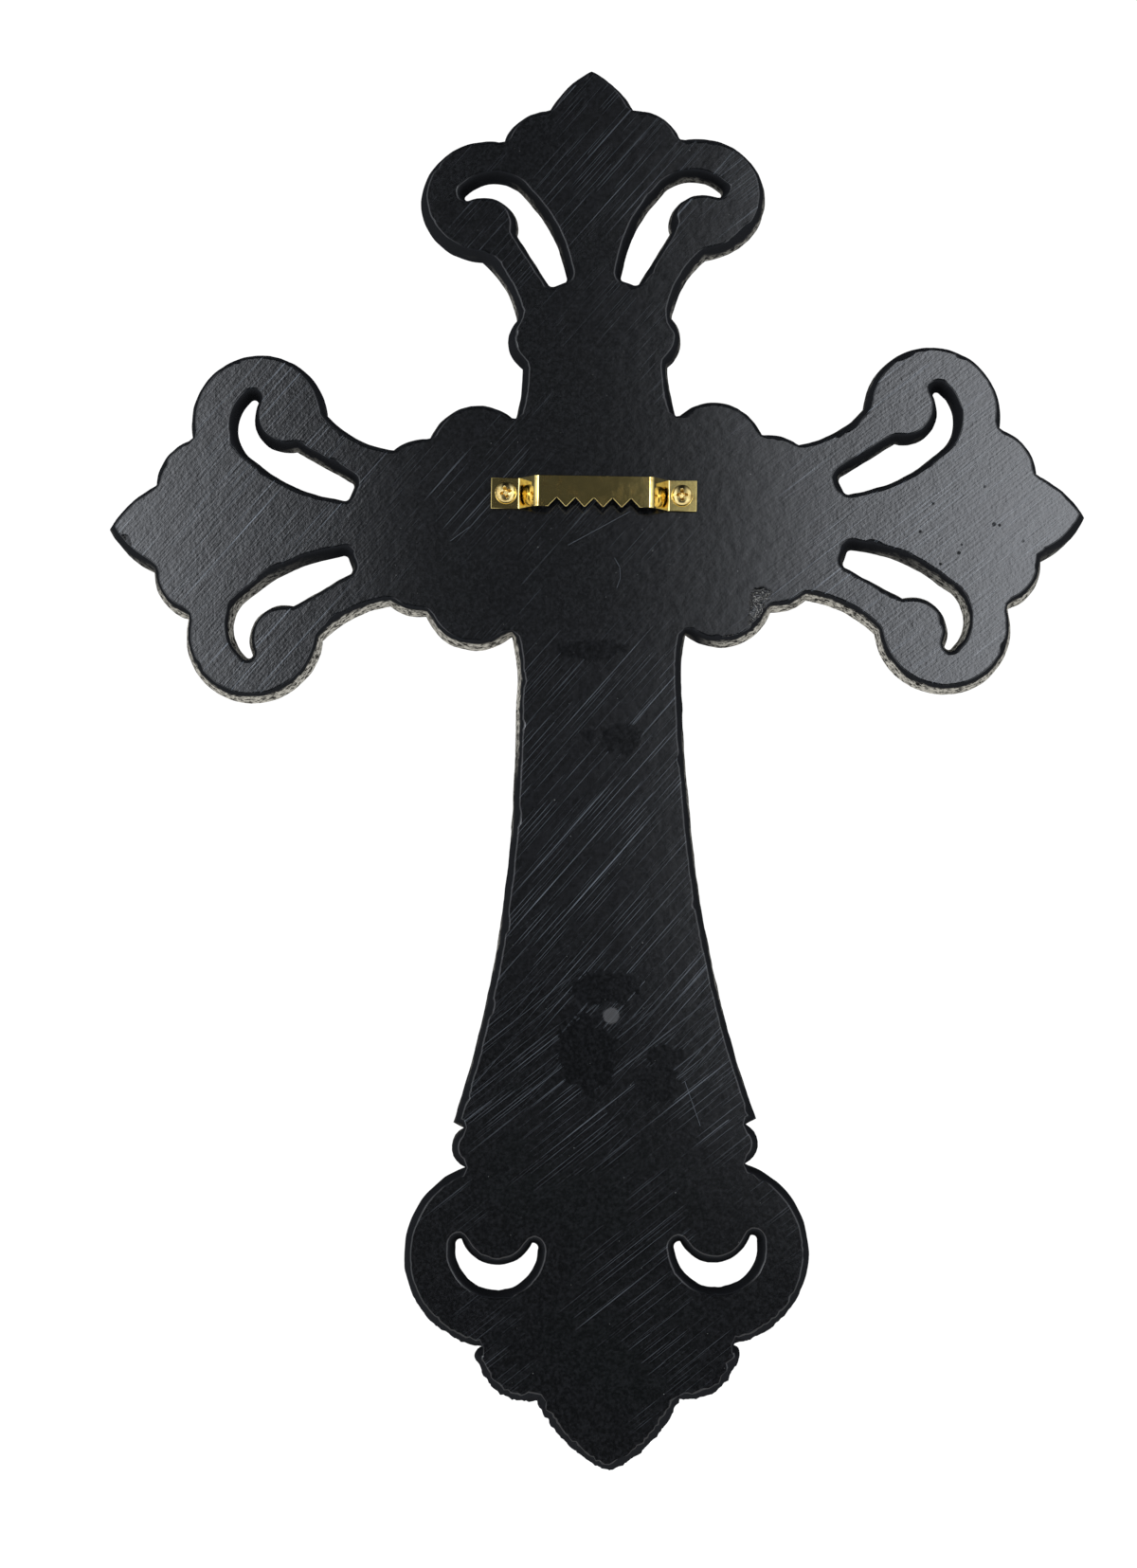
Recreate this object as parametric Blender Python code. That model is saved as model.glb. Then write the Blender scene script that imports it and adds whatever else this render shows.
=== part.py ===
"""Wall cross with fleur arms: one resin casting, flat behind, hung by a screwed-on sawtooth strip.

The nail stands at the origin, in the middle notch of the strip. +Z is up and +Y points to the wall,
so the flat back looks along +Y and the carved front along -Y. Sizes are in millimetres and become
metres when a mesh is made.
"""
import math

import bmesh
import bpy
import numpy as np
from mathutils import Vector
from mathutils.geometry import delaunay_2d_cdt

MM = 0.001

# Cross outline, at the front edge of its wall, where the casting is widest
SIDE_REACH = 107.5          # crossing to the tip of a side arm
SIDE_SPREAD = 38.5          # axis of a side arm to the outside of its scrolls
SIDE_NECK = 45.2            # crossing to the narrowest place of a side arm
SIDE_LIFT_DEG = 0.35        # how far the side arms rise towards their tips
SIDE_SLANT = 0.03           # how far their upper scrolls are set back, for each millimetre of height
TOP_REACH = 101.6
TOP_SPREAD = 38.1
TOP_NECK = 46.0
FOOT_REACH = 206.6
FOOT_SPREAD = 44.6
SHAFT_HALF = 18.2           # half the width of the shaft below the crossing
COLLAR_SHARE = 0.632        # how far down the foot's reach the collar at the end of the shaft lies
COLLAR_HALF = 33.1
CROSSING_DROP = 4.6         # nail notch down to the axis of the side arms

# Cross thickness
WALL_HEIGHT = 7.6           # flat back to the widest line of the wall
WALL_DRAFT = 1.1            # how far the wall leans out over that height
BACK_EDGE_ROUND = 0.7
RIM_RISE = 1.8              # widest line up to the crest of the rim
RIM_CREST_IN = 1.6          # outline to the crest
RIM_WIDTH = 3.4             # outline to the foot of the rim
GROUND_RISE = 0.6           # widest line up to the ground beside the rim
GROUND_SWELL = 2.6          # how far the ground swells up away from the rim
SWELL_REACH = 9.0           # distance over which it swells

# Carving on the front
ROSETTE_RADIUS = 15.5
ROSETTE_RISE = 3.4
ROSETTE_PETALS = 8
ROSETTE_RINGS = (0.0, 0.16, 0.28, 0.50, 0.70, 0.85, 1.0)        # shares of its radius
ROSETTE_LEVELS = (1.0, 0.85, 0.2, 0.12, 0.12, 0.6, 0.0)         # shares of its rise at those rings
PETAL_LEVELS = (0.0, 0.0, 0.0, 0.42, 0.0, 0.0, 0.0)             # what a petal adds there
EYE_RADIUS = 3.6            # dome in the middle of each scroll
EYE_RISE = 2.0
BAND_WIDTH = 5.0            # raised strap across a neck
BAND_RISE = 1.5
KEEL_WIDTH = 8.0            # raised rib along each limb
KEEL_RISE = 1.6

# Sawtooth hanger, a bent strip
SHEET = 0.8
STRIP_WIDTH = 6.8
BRIDGE_LENGTH = 25.1        # between its two bends
SLOPE_RUN = 3.5
TAB_LENGTH = 6.45
BRIDGE_LIFT = 5.5           # face of the tabs to face of the bridge
BEND_RADIUS = 0.9           # at the middle of the sheet
TOOTH_PITCH = 4.05
NOTCH_COUNT = 5
NOTCH_DEPTH = 1.9
TOOTH_FLAT = 0.25
STRIP_TILT_DEG = 1.6        # the strip was screwed on a little crooked
STRIP_OFF_CENTRE = 0.7      # and to one side of the axis of the cross

# Screws
HEAD_DIAMETER = 4.65
HEAD_HEIGHT = 1.7
HEAD_EDGE = 0.45            # height of the head's upright edge
SHANK_DIAMETER = 2.3
SHANK_LENGTH = 8.0          # under the head
POINT_LENGTH = 1.6
RECESS_SPAN = 2.7
RECESS_WIDTH = 0.7
RECESS_DEPTH = 1.0
RECESS_NARROWING = 0.45     # size of the recess's floor, as a share of its mouth
RECESS_TURNS_DEG = (17.5, 2.5)
CROWN_STEPS_DEG = (0, 25, 45, 62, 76, 90)
CLEARANCE = 0.3             # between pieces that touch

# Fineness
ARC_STEP = math.radians(15)
BEND_STEPS = 4
GROUND_STEP = 6.0           # spacing of points on the swelling ground
POINT_GAP = 0.6             # least distance between points of the rim, rosette and eyes
RIB_GAP = 1.2               # from points of the ribs and bands to those before them
GRID_GAP = 3.7              # from points of the ground to those before them
RIM_CLEARANCE = 0.4         # from the foot of the rim to the points inside it
ROUND_SIDES = 16
INSET_EASE = 0.93           # how much less the wall is moved in, each time, where a bump closes up
INSET_TRIES = 30

# Clear face of the flat back, on the shaft
SEAT_SHARES = (0.6, 0.86)   # its ends, as shares of the way to the collar
SEAT_MARGIN = 6.0           # from its corners to the side of the shaft

# Worked out from the sizes above
BACK_Y = -(CLEARANCE + BRIDGE_LIFT + SHEET / 2)
SHANK_IN_CROSS = SHANK_LENGTH - SHEET - 2 * CLEARANCE
PILOT_RADIUS = SHANK_DIAMETER / 2 + CLEARANCE
PILOT_DEPTH = SHANK_IN_CROSS + CLEARANCE
SCREW_AT = BRIDGE_LENGTH / 2 + SLOPE_RUN + TAB_LENGTH / 2
STRIP_MIDDLE = STRIP_WIDTH / 2 - NOTCH_DEPTH
AXIS_X = -STRIP_OFF_CENTRE
COLLAR_AT = COLLAR_SHARE * FOOT_REACH

# Outlines of the limbs, each drawn once at the length and half width below, then scaled to its limb.
# A row is (distance along the limb, distance from its axis, rise of the arc that ends there). The rise
# is a share of the arc's chord, and a plus sign swells the limb, or the hole, outward.
FLEUR_DRAWN = (61.5, 38.1)
FLEUR_EDGE = (
    (0.0, 17.1, 0.0),
    (14.5, 24.7, -0.085),
    (43.9, 19.7, 0.535),
    (51.5, 9.5, 0.17),
    (61.5, 0.0, 0.08),
)
FLEUR_SLOT = (
    (10.6, 6.1, 0.076),
    (9.3, 6.9, 0.2),
    (8.5, 8.8, 0.0),
    (9.2, 10.1, 0.2),
    (21.0, 16.9, 0.0),
    (29.7, 27.6, -0.32),
    (31.3, 28.0, 0.35),
    (31.6, 16.0, 0.215),
)
FLEUR_EYE = (24.4, 22.9)
TOP_NOTCH = (17.8, 23.9)    # where the top arm meets the lobes: across, up
SHAFT_NOTCH = (19.1, 24.2)  # where the shaft meets them: across, down
LOBE_JOINT = (37.3, 19.7)
LOBE_RISE, SMALL_LOBE_RISE = 0.265, 0.1
BEAD_FOOT = (35.3, 16.0)
TOP_NECK_RISE, BEAD_RISE = -0.03, 0.23
SHAFT_START = 30.0
SHAFT_HANDLES = (0.57, 0.8)  # places of the curve's two handles, as shares of the way to the collar
SHAFT_FLARE = 0.40          # share of the flare that the second handle has reached
SHAFT_POINTS = 12
FOOT_DRAWN = (76.0, 44.6)
FOOT_EDGE = (
    (1.2, 30.9, 0.0),
    (9.8, 30.6, 0.32),
    (48.8, 27.2, 0.39),
    (52.6, 28.0, 0.3),
    (60.6, 15.5, 0.19),
    (76.0, 0.0, 0.1),
)
FOOT_SLOT = (
    (25.4, 31.5, -0.34),
    (26.6, 32.9, 0.3),
    (28.1, 14.9, 0.51),
    (26.5, 16.1, 0.3),
)
FOOT_EYE = (24.0, 23.8)
COLLAR_BEAD = 5.5           # from the collar's start to the middle of its bead, as drawn


# Curves

def arc(start, end, rise):
    """Points after start, up to end, on an arc that rises to the left by a share of its chord."""
    start, end = np.array(start, float), np.array(end, float)
    if abs(rise) < 1e-6:
        return [tuple(end)]
    half_angle = 2 * math.atan(2 * abs(rise))
    count = max(2, math.ceil(2 * half_angle / ARC_STEP))
    chord = end - start
    left = np.array((-chord[1], chord[0])) * math.copysign(1.0, rise)
    points = []
    for index in range(1, count + 1):
        turn = half_angle * (2 * index / count - 1)
        along = 0.5 + 0.5 * math.sin(turn) / math.sin(half_angle)
        height = 0.5 * (math.cos(turn) - math.cos(half_angle)) / math.sin(half_angle)
        points.append(tuple(start + along * chord + height * left))
    return points


def path(start, rows):
    """Points of a run of arcs, with the start."""
    points = [tuple(start)]
    for along, out, rise in rows:
        points += arc(points[-1], (along, out), rise)
    return points


def ring(rows):
    """Points of a closed run of arcs."""
    return path(rows[-1][:2], rows)[1:]


def bezier(controls, count):
    """Points on a cubic curve, with both ends."""
    a, b, c, d = (np.array(p, float) for p in controls)
    steps = [index / count for index in range(count + 1)]
    return [tuple(a * (1 - t) ** 3 + 3 * b * t * (1 - t) ** 2 + 3 * c * t * t * (1 - t) + d * t ** 3)
            for t in steps]


# Limbs of the cross: each has its own frame, with the distance along it first

def stretch(points, drawn, start, reach, spread):
    """Scale drawn points to a limb's length and half width, and move them to where the form starts."""
    scale = np.array(((reach - start) / drawn[0], spread / drawn[1]))
    return np.array(points, float) * scale + (start, 0.0)


def fleur(neck, reach, spread):
    """Edge from neck to tip, slot and scroll centre of the upper half of a fleur."""
    edge = stretch(path(FLEUR_EDGE[0][:2], FLEUR_EDGE[1:]), FLEUR_DRAWN, neck, reach, spread)
    slot = stretch(ring(FLEUR_SLOT), FLEUR_DRAWN, neck, reach, spread)
    eye = stretch([FLEUR_EYE], FLEUR_DRAWN, neck, reach, spread)[0]
    return edge, slot, eye


def side_limb(notch):
    edge, slot, eye = fleur(SIDE_NECK, SIDE_REACH, SIDE_SPREAD)
    lobes = path(notch, ((*LOBE_JOINT, LOBE_RISE), (*edge[0], SMALL_LOBE_RISE)))
    return np.vstack((lobes[:-1], edge)), slot, eye


def top_limb():
    edge, slot, eye = fleur(TOP_NECK, TOP_REACH, TOP_SPREAD)
    neck = path(TOP_NOTCH[::-1], ((*BEAD_FOOT, TOP_NECK_RISE), (*edge[0], BEAD_RISE)))
    return np.vstack((neck[:-1], edge)), slot, eye


def foot_limb():
    flare = COLLAR_HALF - SHAFT_HALF
    shaft = bezier(((SHAFT_START, SHAFT_HALF), (SHAFT_HANDLES[0] * COLLAR_AT, SHAFT_HALF),
                    (SHAFT_HANDLES[1] * COLLAR_AT, SHAFT_HALF + SHAFT_FLARE * flare),
                    (COLLAR_AT, COLLAR_HALF)), SHAFT_POINTS)
    start = (0.0, COLLAR_HALF * FOOT_DRAWN[1] / FOOT_SPREAD)
    end = stretch(path(start, FOOT_EDGE), FOOT_DRAWN, COLLAR_AT, FOOT_REACH, FOOT_SPREAD)
    slot = stretch(ring(FOOT_SLOT), FOOT_DRAWN, COLLAR_AT, FOOT_REACH, FOOT_SPREAD)
    eye = stretch([FOOT_EYE], FOOT_DRAWN, COLLAR_AT, FOOT_REACH, FOOT_SPREAD)[0]
    return np.vstack(([SHAFT_NOTCH[::-1]], shaft, end[1:])), slot, eye


def on_top(points, side):
    points = np.atleast_2d(points)
    return np.column_stack((side * points[:, 1], points[:, 0]))


def on_foot(points, side):
    points = np.atleast_2d(points)
    return np.column_stack((side * points[:, 1], -points[:, 0]))


def on_side(points, side, half):
    """Place a side arm's half: half is 1 above its axis, -1 below. Outside its lobes the arm leans."""
    points = np.atleast_2d(points)
    start = SHAFT_NOTCH[0]
    share = np.clip((points[:, 0] - start) / (LOBE_JOINT[0] - start), 0.0, 1.0)
    along, out = points[:, 0], half * points[:, 1]
    across = along - share * SIDE_SLANT * out
    up = out + share * math.tan(math.radians(SIDE_LIFT_DEG)) * along
    return np.column_stack((side * across, up))


def signed_area(points):
    x, z = np.array(points).T
    return 0.5 * float(np.sum(x * np.roll(z, -1) - np.roll(x, -1) * z))


def turned(points, clockwise):
    points = np.array(points)
    return points if (signed_area(points) < 0) == clockwise else points[::-1]


def cross_loops():
    """The outline and the eight slots, each with the resin on the right of the way along it."""
    upper_edge, side_slot, _ = side_limb(TOP_NOTCH)
    lower_edge = side_limb(SHAFT_NOTCH)[0]
    top_edge, top_slot, _ = top_limb()
    foot_edge, foot_slot, _ = foot_limb()
    right = np.vstack((
        on_top(top_edge, 1)[:0:-1],
        on_side(upper_edge, 1, 1)[:-1],
        on_side(lower_edge, 1, -1)[:0:-1],
        on_foot(foot_edge, 1),
    ))
    left = right[-2:0:-1] * (-1, 1)
    loops = [turned(np.vstack((right, left)), True)]
    for side in (1, -1):
        loops.append(turned(on_top(top_slot, side), False))
        loops.append(turned(on_foot(foot_slot, side), False))
        loops.append(turned(on_side(side_slot, side, 1), False))
        loops.append(turned(on_side(side_slot, side, -1), False))
    return loops


def scroll_eyes():
    """Middles of the scrolls."""
    side_eye, top_eye, foot_eye = side_limb(TOP_NOTCH)[2], top_limb()[2], foot_limb()[2]
    eyes = []
    for side in (1, -1):
        eyes += [on_top(top_eye, side)[0], on_foot(foot_eye, side)[0],
                 on_side(side_eye, side, 1)[0], on_side(side_eye, side, -1)[0]]
    return eyes


def outward(loop):
    """Directions away from the resin at the points of a loop, a little longer at its corners."""
    ahead = np.roll(loop, -1, axis=0) - loop
    ahead /= np.linalg.norm(ahead, axis=1)[:, None]
    left = np.column_stack((-ahead[:, 1], ahead[:, 0]))
    middle = left + np.roll(left, 1, axis=0)
    length = np.linalg.norm(middle, axis=1)
    return middle / length[:, None] / np.maximum(length / 2, 0.8)[:, None]


def inset(loop, distance):
    return loop - distance * outward(loop)


def wall_inset(loop, distance):
    """The loop moved into the resin, but less far at a bump too narrow for it, so that it never turns back."""
    away = outward(loop)
    ahead = np.roll(loop, -1, axis=0) - loop
    reach = np.full(len(loop), float(distance))
    for _ in range(INSET_TRIES):
        moved = loop - reach[:, None] * away
        back = ((np.roll(moved, -1, axis=0) - moved) * ahead).sum(axis=1) <= 0.0
        if not back.any():
            break
        reach[back | np.roll(back, 1)] *= INSET_EASE
    return moved


# Height of the carved front above the flat back

def edge_distance(points, loops):
    """Distance from each point to the nearest edge of the loops."""
    starts = np.vstack(loops)
    spans = np.vstack([np.roll(loop, -1, axis=0) - loop for loop in loops])
    squares = (spans ** 2).sum(axis=1)
    best = np.full(len(points), np.inf)
    for index, point in enumerate(points):
        share = np.clip(((point - starts) * spans).sum(axis=1) / squares, 0.0, 1.0)
        nearest = starts + share[:, None] * spans
        best[index] = math.sqrt(((point - nearest) ** 2).sum(axis=1).min())
    return best


def ramp(value, start, end):
    share = np.clip((value - start) / (end - start), 0.0, 1.0)
    return share * share * (3 - 2 * share)


def ground(distance):
    """Rim and swelling ground, by distance from the outline."""
    rim = np.interp(distance, (0.0, RIM_CREST_IN, RIM_WIDTH), (0.0, RIM_RISE, GROUND_RISE))
    return WALL_HEIGHT + rim + GROUND_SWELL * ramp(distance, RIM_WIDTH, RIM_WIDTH + SWELL_REACH)


def rosette(points):
    """Petals and a dome inside a ring, round the crossing."""
    radius = np.linalg.norm(points, axis=1) / ROSETTE_RADIUS
    angle = np.arctan2(points[:, 0], points[:, 1])
    petal = 0.5 + 0.5 * np.cos(ROSETTE_PETALS * angle)
    plain = np.interp(radius, ROSETTE_RINGS, ROSETTE_LEVELS)
    return ROSETTE_RISE * (plain + petal * np.interp(radius, ROSETTE_RINGS, PETAL_LEVELS))


def ridge(along, out, start, end, width, rise):
    """A rib from start to end that is highest on its axis and tapers to both ends."""
    taper = np.sin(np.pi * np.clip((along - start) / (end - start), 0.0, 1.0)) ** 0.5
    return rise * taper * np.clip(1 - 2 * np.abs(out) / (width * np.maximum(taper, 0.05)), 0.0, 1.0)


def band(along, middle, width, rise):
    return rise * np.clip(2 - 4 * np.abs(along - middle) / width, 0.0, 1.0)


def limb_places(points):
    """Each limb's own coordinates of the points, with its keel's ends and the middles of its bands."""
    across, up = points.T
    side_along = np.abs(across) + SIDE_SLANT * up
    side_out = up - math.tan(math.radians(SIDE_LIFT_DEG)) * side_along
    start = ROSETTE_RADIUS
    top_band = (BEAD_FOOT[0] + TOP_NECK) / 2
    side_band = (LOBE_JOINT[0] + SIDE_NECK) / 2
    foot_band = COLLAR_AT + COLLAR_BEAD * (FOOT_REACH - COLLAR_AT) / FOOT_DRAWN[0]
    return (
        (up, across, ((start, top_band), (top_band, TOP_REACH - RIM_WIDTH)), top_band),
        (side_along, side_out, ((start, side_band), (side_band, SIDE_REACH - RIM_WIDTH)), side_band),
        (-up, across, ((start, foot_band), (foot_band, FOOT_REACH - RIM_WIDTH)), foot_band),
    )


def carving(points, distance):
    """Height of the carved front above the flat back."""
    height = ground(distance)
    inner = ramp(distance, RIM_CREST_IN, RIM_WIDTH)
    extra = rosette(points)
    for along, out, keels, band_at in limb_places(points):
        for start, end in keels:
            extra = np.maximum(extra, ridge(along, out, start, end, KEEL_WIDTH, KEEL_RISE))
        extra = np.maximum(extra, band(along, band_at, BAND_WIDTH, BAND_RISE))
    for eye in scroll_eyes():
        radius = np.linalg.norm(points - eye, axis=1) / EYE_RADIUS
        extra = np.maximum(extra, EYE_RISE * np.sqrt(np.clip(1 - radius ** 2, 0.0, 1.0)))
    return height + inner * extra


# Points that carry the carving

def circle(middle, radius, count, phase=0.0):
    angles = phase + 2 * math.pi * np.arange(count) / count
    return np.array(middle) + radius * np.column_stack((np.sin(angles), np.cos(angles)))


def rosette_points():
    rings = [circle((0, 0), share * ROSETTE_RADIUS, 2 * ROSETTE_PETALS) for share in ROSETTE_RINGS[1:]]
    return np.vstack([np.zeros((1, 2))] + rings)


def eye_points():
    rings = []
    for eye in scroll_eyes():
        rings += [np.array([eye]), circle(eye, 0.6 * EYE_RADIUS, 8), circle(eye, 0.95 * EYE_RADIUS, 10)]
    return np.vstack(rings)


def rib_points(start, end):
    """Points along a keel and at its feet, in the limb's own coordinates."""
    count = max(4, math.ceil((end - start) / GROUND_STEP))
    points = []
    for index in range(count + 1):
        share = index / count
        along = start + share * (end - start)
        foot = KEEL_WIDTH / 2 * math.sqrt(math.sin(math.pi * share)) if 0 < index < count else 0.0
        points += [(along, 0.0)] + ([(along, foot), (along, -foot)] if foot else [])
    return points


def band_points(middle, half_width):
    """Points across a band, at its edges and the edges of its flat top."""
    outs = np.linspace(-half_width, half_width, max(4, math.ceil(2 * half_width / GROUND_STEP)) + 1)
    alongs = [middle + share * BAND_WIDTH for share in (-0.5, -0.25, 0.25, 0.5)]
    return [(along, out) for along in alongs for out in outs]


def limb_points():
    """Points of all keels and bands."""
    places = limb_places(np.zeros((1, 2)))
    maps = (
        (lambda p: on_top(p, 1),),
        (lambda p: on_side(p, 1, 1), lambda p: on_side(p, -1, 1)),
        (lambda p: on_foot(p, 1),),
    )
    half_widths = (FLEUR_EDGE[0][1], LOBE_JOINT[1], COLLAR_HALF)
    points = []
    for (_, _, keels, band_at), placings, half_width in zip(places, maps, half_widths):
        local = band_points(band_at, half_width)
        for start, end in keels:
            local += rib_points(start, end)
        points += [placing(np.array(local)) for placing in placings]
    return np.vstack(points)


def grid_points(loops):
    """A hexagonal grid over the whole cross."""
    low, high = loops[0].min(axis=0), loops[0].max(axis=0)
    points = []
    row_step = GROUND_STEP * math.sqrt(3) / 2
    for row in range(math.ceil((high[1] - low[1]) / row_step)):
        shift = GROUND_STEP / 2 * (row % 2)
        for column in range(math.ceil((high[0] - low[0]) / GROUND_STEP)):
            points.append((low[0] + shift + column * GROUND_STEP, low[1] + row * row_step))
    return np.array(points)


def inside(points, loops):
    """Which points lie in the resin: inside an odd number of loops."""
    odd = np.zeros(len(points), bool)
    for loop in loops:
        ends = np.roll(loop, -1, axis=0)
        for (x0, z0), (x1, z1) in zip(loop, ends):
            if z0 == z1:
                continue
            crossing = (points[:, 1] >= min(z0, z1)) & (points[:, 1] < max(z0, z1))
            odd ^= crossing & (points[:, 0] < x0 + (points[:, 1] - z0) * (x1 - x0) / (z1 - z0))
    return odd


def spaced(kept, candidates, gap):
    """Add the candidates that stay clear of the points before them."""
    kept = list(kept)
    for candidate in candidates:
        near = np.array(kept)
        if ((near - candidate) ** 2).sum(axis=1).min() > gap * gap:
            kept.append(candidate)
    return np.array(kept)


def rim_rings(loops):
    """Points of the crest and the foot of the rim, and index pairs that join neighbours."""
    points, bars = [], []
    for distance in (RIM_CREST_IN, RIM_WIDTH):
        for loop in loops:
            course = inset(loop, distance)
            course = course[(edge_distance(course, loops) > 0.96 * distance) & inside(course, loops)]
            ring_points = [course[0]]
            for place in course[1:]:
                if math.dist(place, ring_points[-1]) > POINT_GAP:
                    ring_points.append(place)
            middles = (np.array(ring_points) + np.roll(ring_points, -1, axis=0)) / 2
            joined = (edge_distance(middles, loops) > 0.85 * distance) & inside(middles, loops)
            first, size = len(points), len(ring_points)
            bars += [(first + i, first + (i + 1) % size) for i in range(size) if joined[i]]
            points += ring_points
    return points, bars


def front_points(loops):
    """Points of the carved front inside the outline, and the rim's edges between them."""
    kept, bars = rim_rings(loops)
    for points, gap in ((rosette_points(), POINT_GAP), (eye_points(), POINT_GAP), (limb_points(), RIB_GAP),
                        (grid_points(loops), GRID_GAP)):
        room = points[inside(points, loops)]
        room = room[edge_distance(room, loops) > RIM_WIDTH + RIM_CLEARANCE]
        kept = spaced(kept, room, gap)
    return kept, bars


# Meshes

def triangles_in(points, loops, bars=()):
    """Triangles that fill the loops, which are index lists, and keep the bars as edges."""
    edges = [(loop[i], loop[(i + 1) % len(loop)]) for loop in loops for i in range(len(loop))]
    result = delaunay_2d_cdt([Vector(p) for p in points], edges + list(bars), [], 0, 1e-7)
    corners, _, faces, originals = result[:4]
    index_of = [source[0] for source in originals]
    middles = np.array([np.mean([corners[c][:] for c in face], axis=0) for face in faces])
    filled = inside(middles, [np.array([points[i] for i in loop]) for loop in loops])
    return [tuple(index_of[c] for c in face) for face, keep in zip(faces, filled) if keep]


def make_object(name, vertices, faces, material, smooth_angle=30.0):
    """An object in metres from vertices in millimetres, with its faces pointing out."""
    mesh = bpy.data.meshes.new(name)
    mesh.from_pydata([[c * MM for c in v] for v in vertices], [], faces)
    shape = bmesh.new()
    shape.from_mesh(mesh)
    bmesh.ops.recalc_face_normals(shape, faces=shape.faces)
    shape.to_mesh(mesh)
    shape.free()
    mesh.shade_smooth()
    mesh.set_sharp_from_angle(angle=math.radians(smooth_angle))
    mesh.materials.append(material)
    thing = bpy.data.objects.new(name, mesh)
    bpy.context.collection.objects.link(thing)
    return thing


def make_material(name, colour, roughness, metallic):
    material = bpy.data.materials.new(name)
    material.use_nodes = True
    shader = material.node_tree.nodes["Principled BSDF"]
    shader.inputs["Base Color"].default_value = (*colour, 1.0)
    shader.inputs["Roughness"].default_value = roughness
    shader.inputs["Metallic"].default_value = metallic
    return material


def strip_to_cross(x, z):
    """A place on the tilted strip, in the plane of the cross."""
    tilt = math.radians(STRIP_TILT_DEG)
    return (x * math.cos(tilt) - z * math.sin(tilt) - AXIS_X,
            x * math.sin(tilt) + z * math.cos(tilt) + CROSSING_DROP)


def to_space(points, heights):
    """Points of the cross's plane, at heights above its flat back, as places round the nail."""
    return [(x + AXIS_X, BACK_Y - height, z - CROSSING_DROP) for (x, z), height in zip(points, heights)]


def numbered(loops, first=0):
    """Index lists for loops whose points are stacked one after another."""
    lists = []
    for loop in loops:
        lists.append(list(range(first, first + len(loop))))
        first += len(loop)
    return lists


def wall_faces(lower, upper):
    """Quads between matching index loops."""
    count = len(lower)
    return [(lower[i], lower[(i + 1) % count], upper[(i + 1) % count], upper[i]) for i in range(count)]


def seat_corners():
    """Three points on the flat back of the shaft that bound one clear face."""
    half = SHAFT_HALF - SEAT_MARGIN
    high, low = (-share * COLLAR_AT for share in SEAT_SHARES)
    return [(-half, low), (half, low), (0.0, high)]


def build_cross():
    loops = cross_loops()
    draft_at_round = WALL_DRAFT * (1 - BACK_EDGE_ROUND / WALL_HEIGHT)
    back_loops = [wall_inset(loop, WALL_DRAFT + BACK_EDGE_ROUND) for loop in loops]
    low_loops = [wall_inset(loop, draft_at_round) for loop in loops]
    pilots = [turned(circle(strip_to_cross(side * SCREW_AT, STRIP_MIDDLE), PILOT_RADIUS, ROUND_SIDES), False)
              for side in (-1, 1)]
    front_inner, rim_bars = front_points(loops)

    count = sum(len(loop) for loop in loops)
    back_flat = np.vstack(back_loops + pilots + [seat_corners()])
    front_flat = np.vstack(loops + [front_inner])
    front_heights = carving(front_flat, edge_distance(front_flat, loops))
    front_heights[:count] = WALL_HEIGHT

    vertices = to_space(back_flat, np.zeros(len(back_flat)))
    low_first = len(vertices)
    vertices += to_space(np.vstack(low_loops), np.full(count, BACK_EDGE_ROUND))
    front_first = len(vertices)
    vertices += to_space(front_flat, front_heights)
    pilot_first = len(vertices)
    for pilot in pilots:
        vertices += to_space(pilot, np.full(len(pilot), PILOT_DEPTH))
        vertices += to_space([pilot.mean(axis=0)], [PILOT_DEPTH + 0.5 * PILOT_RADIUS])

    seat = len(back_flat) - 3
    seat_bars = [(seat, seat + 1), (seat + 1, seat + 2), (seat + 2, seat)]
    faces = triangles_in(back_flat, numbered(back_loops + pilots), seat_bars)
    rim_bars = [(count + start, count + end) for start, end in rim_bars]
    front_faces = triangles_in(front_flat, numbered(loops), rim_bars)
    faces += [tuple(front_first + i for i in face) for face in front_faces]
    for back, low, front in zip(numbered(back_loops), numbered(loops, low_first), numbered(loops, front_first)):
        faces += wall_faces(back, low) + wall_faces(low, front)
    for index, mouth in enumerate(numbered(pilots, count)):
        floor = [pilot_first + index * (ROUND_SIDES + 1) + i for i in range(ROUND_SIDES)]
        faces += wall_faces(mouth, floor)
        faces += [(floor[i], floor[(i + 1) % ROUND_SIDES], floor[0] + ROUND_SIDES) for i in range(ROUND_SIDES)]
    resin = make_material("black_resin", (0.018, 0.019, 0.022), 0.42, 0.0)
    return make_object("cross", vertices, faces, resin)


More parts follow.
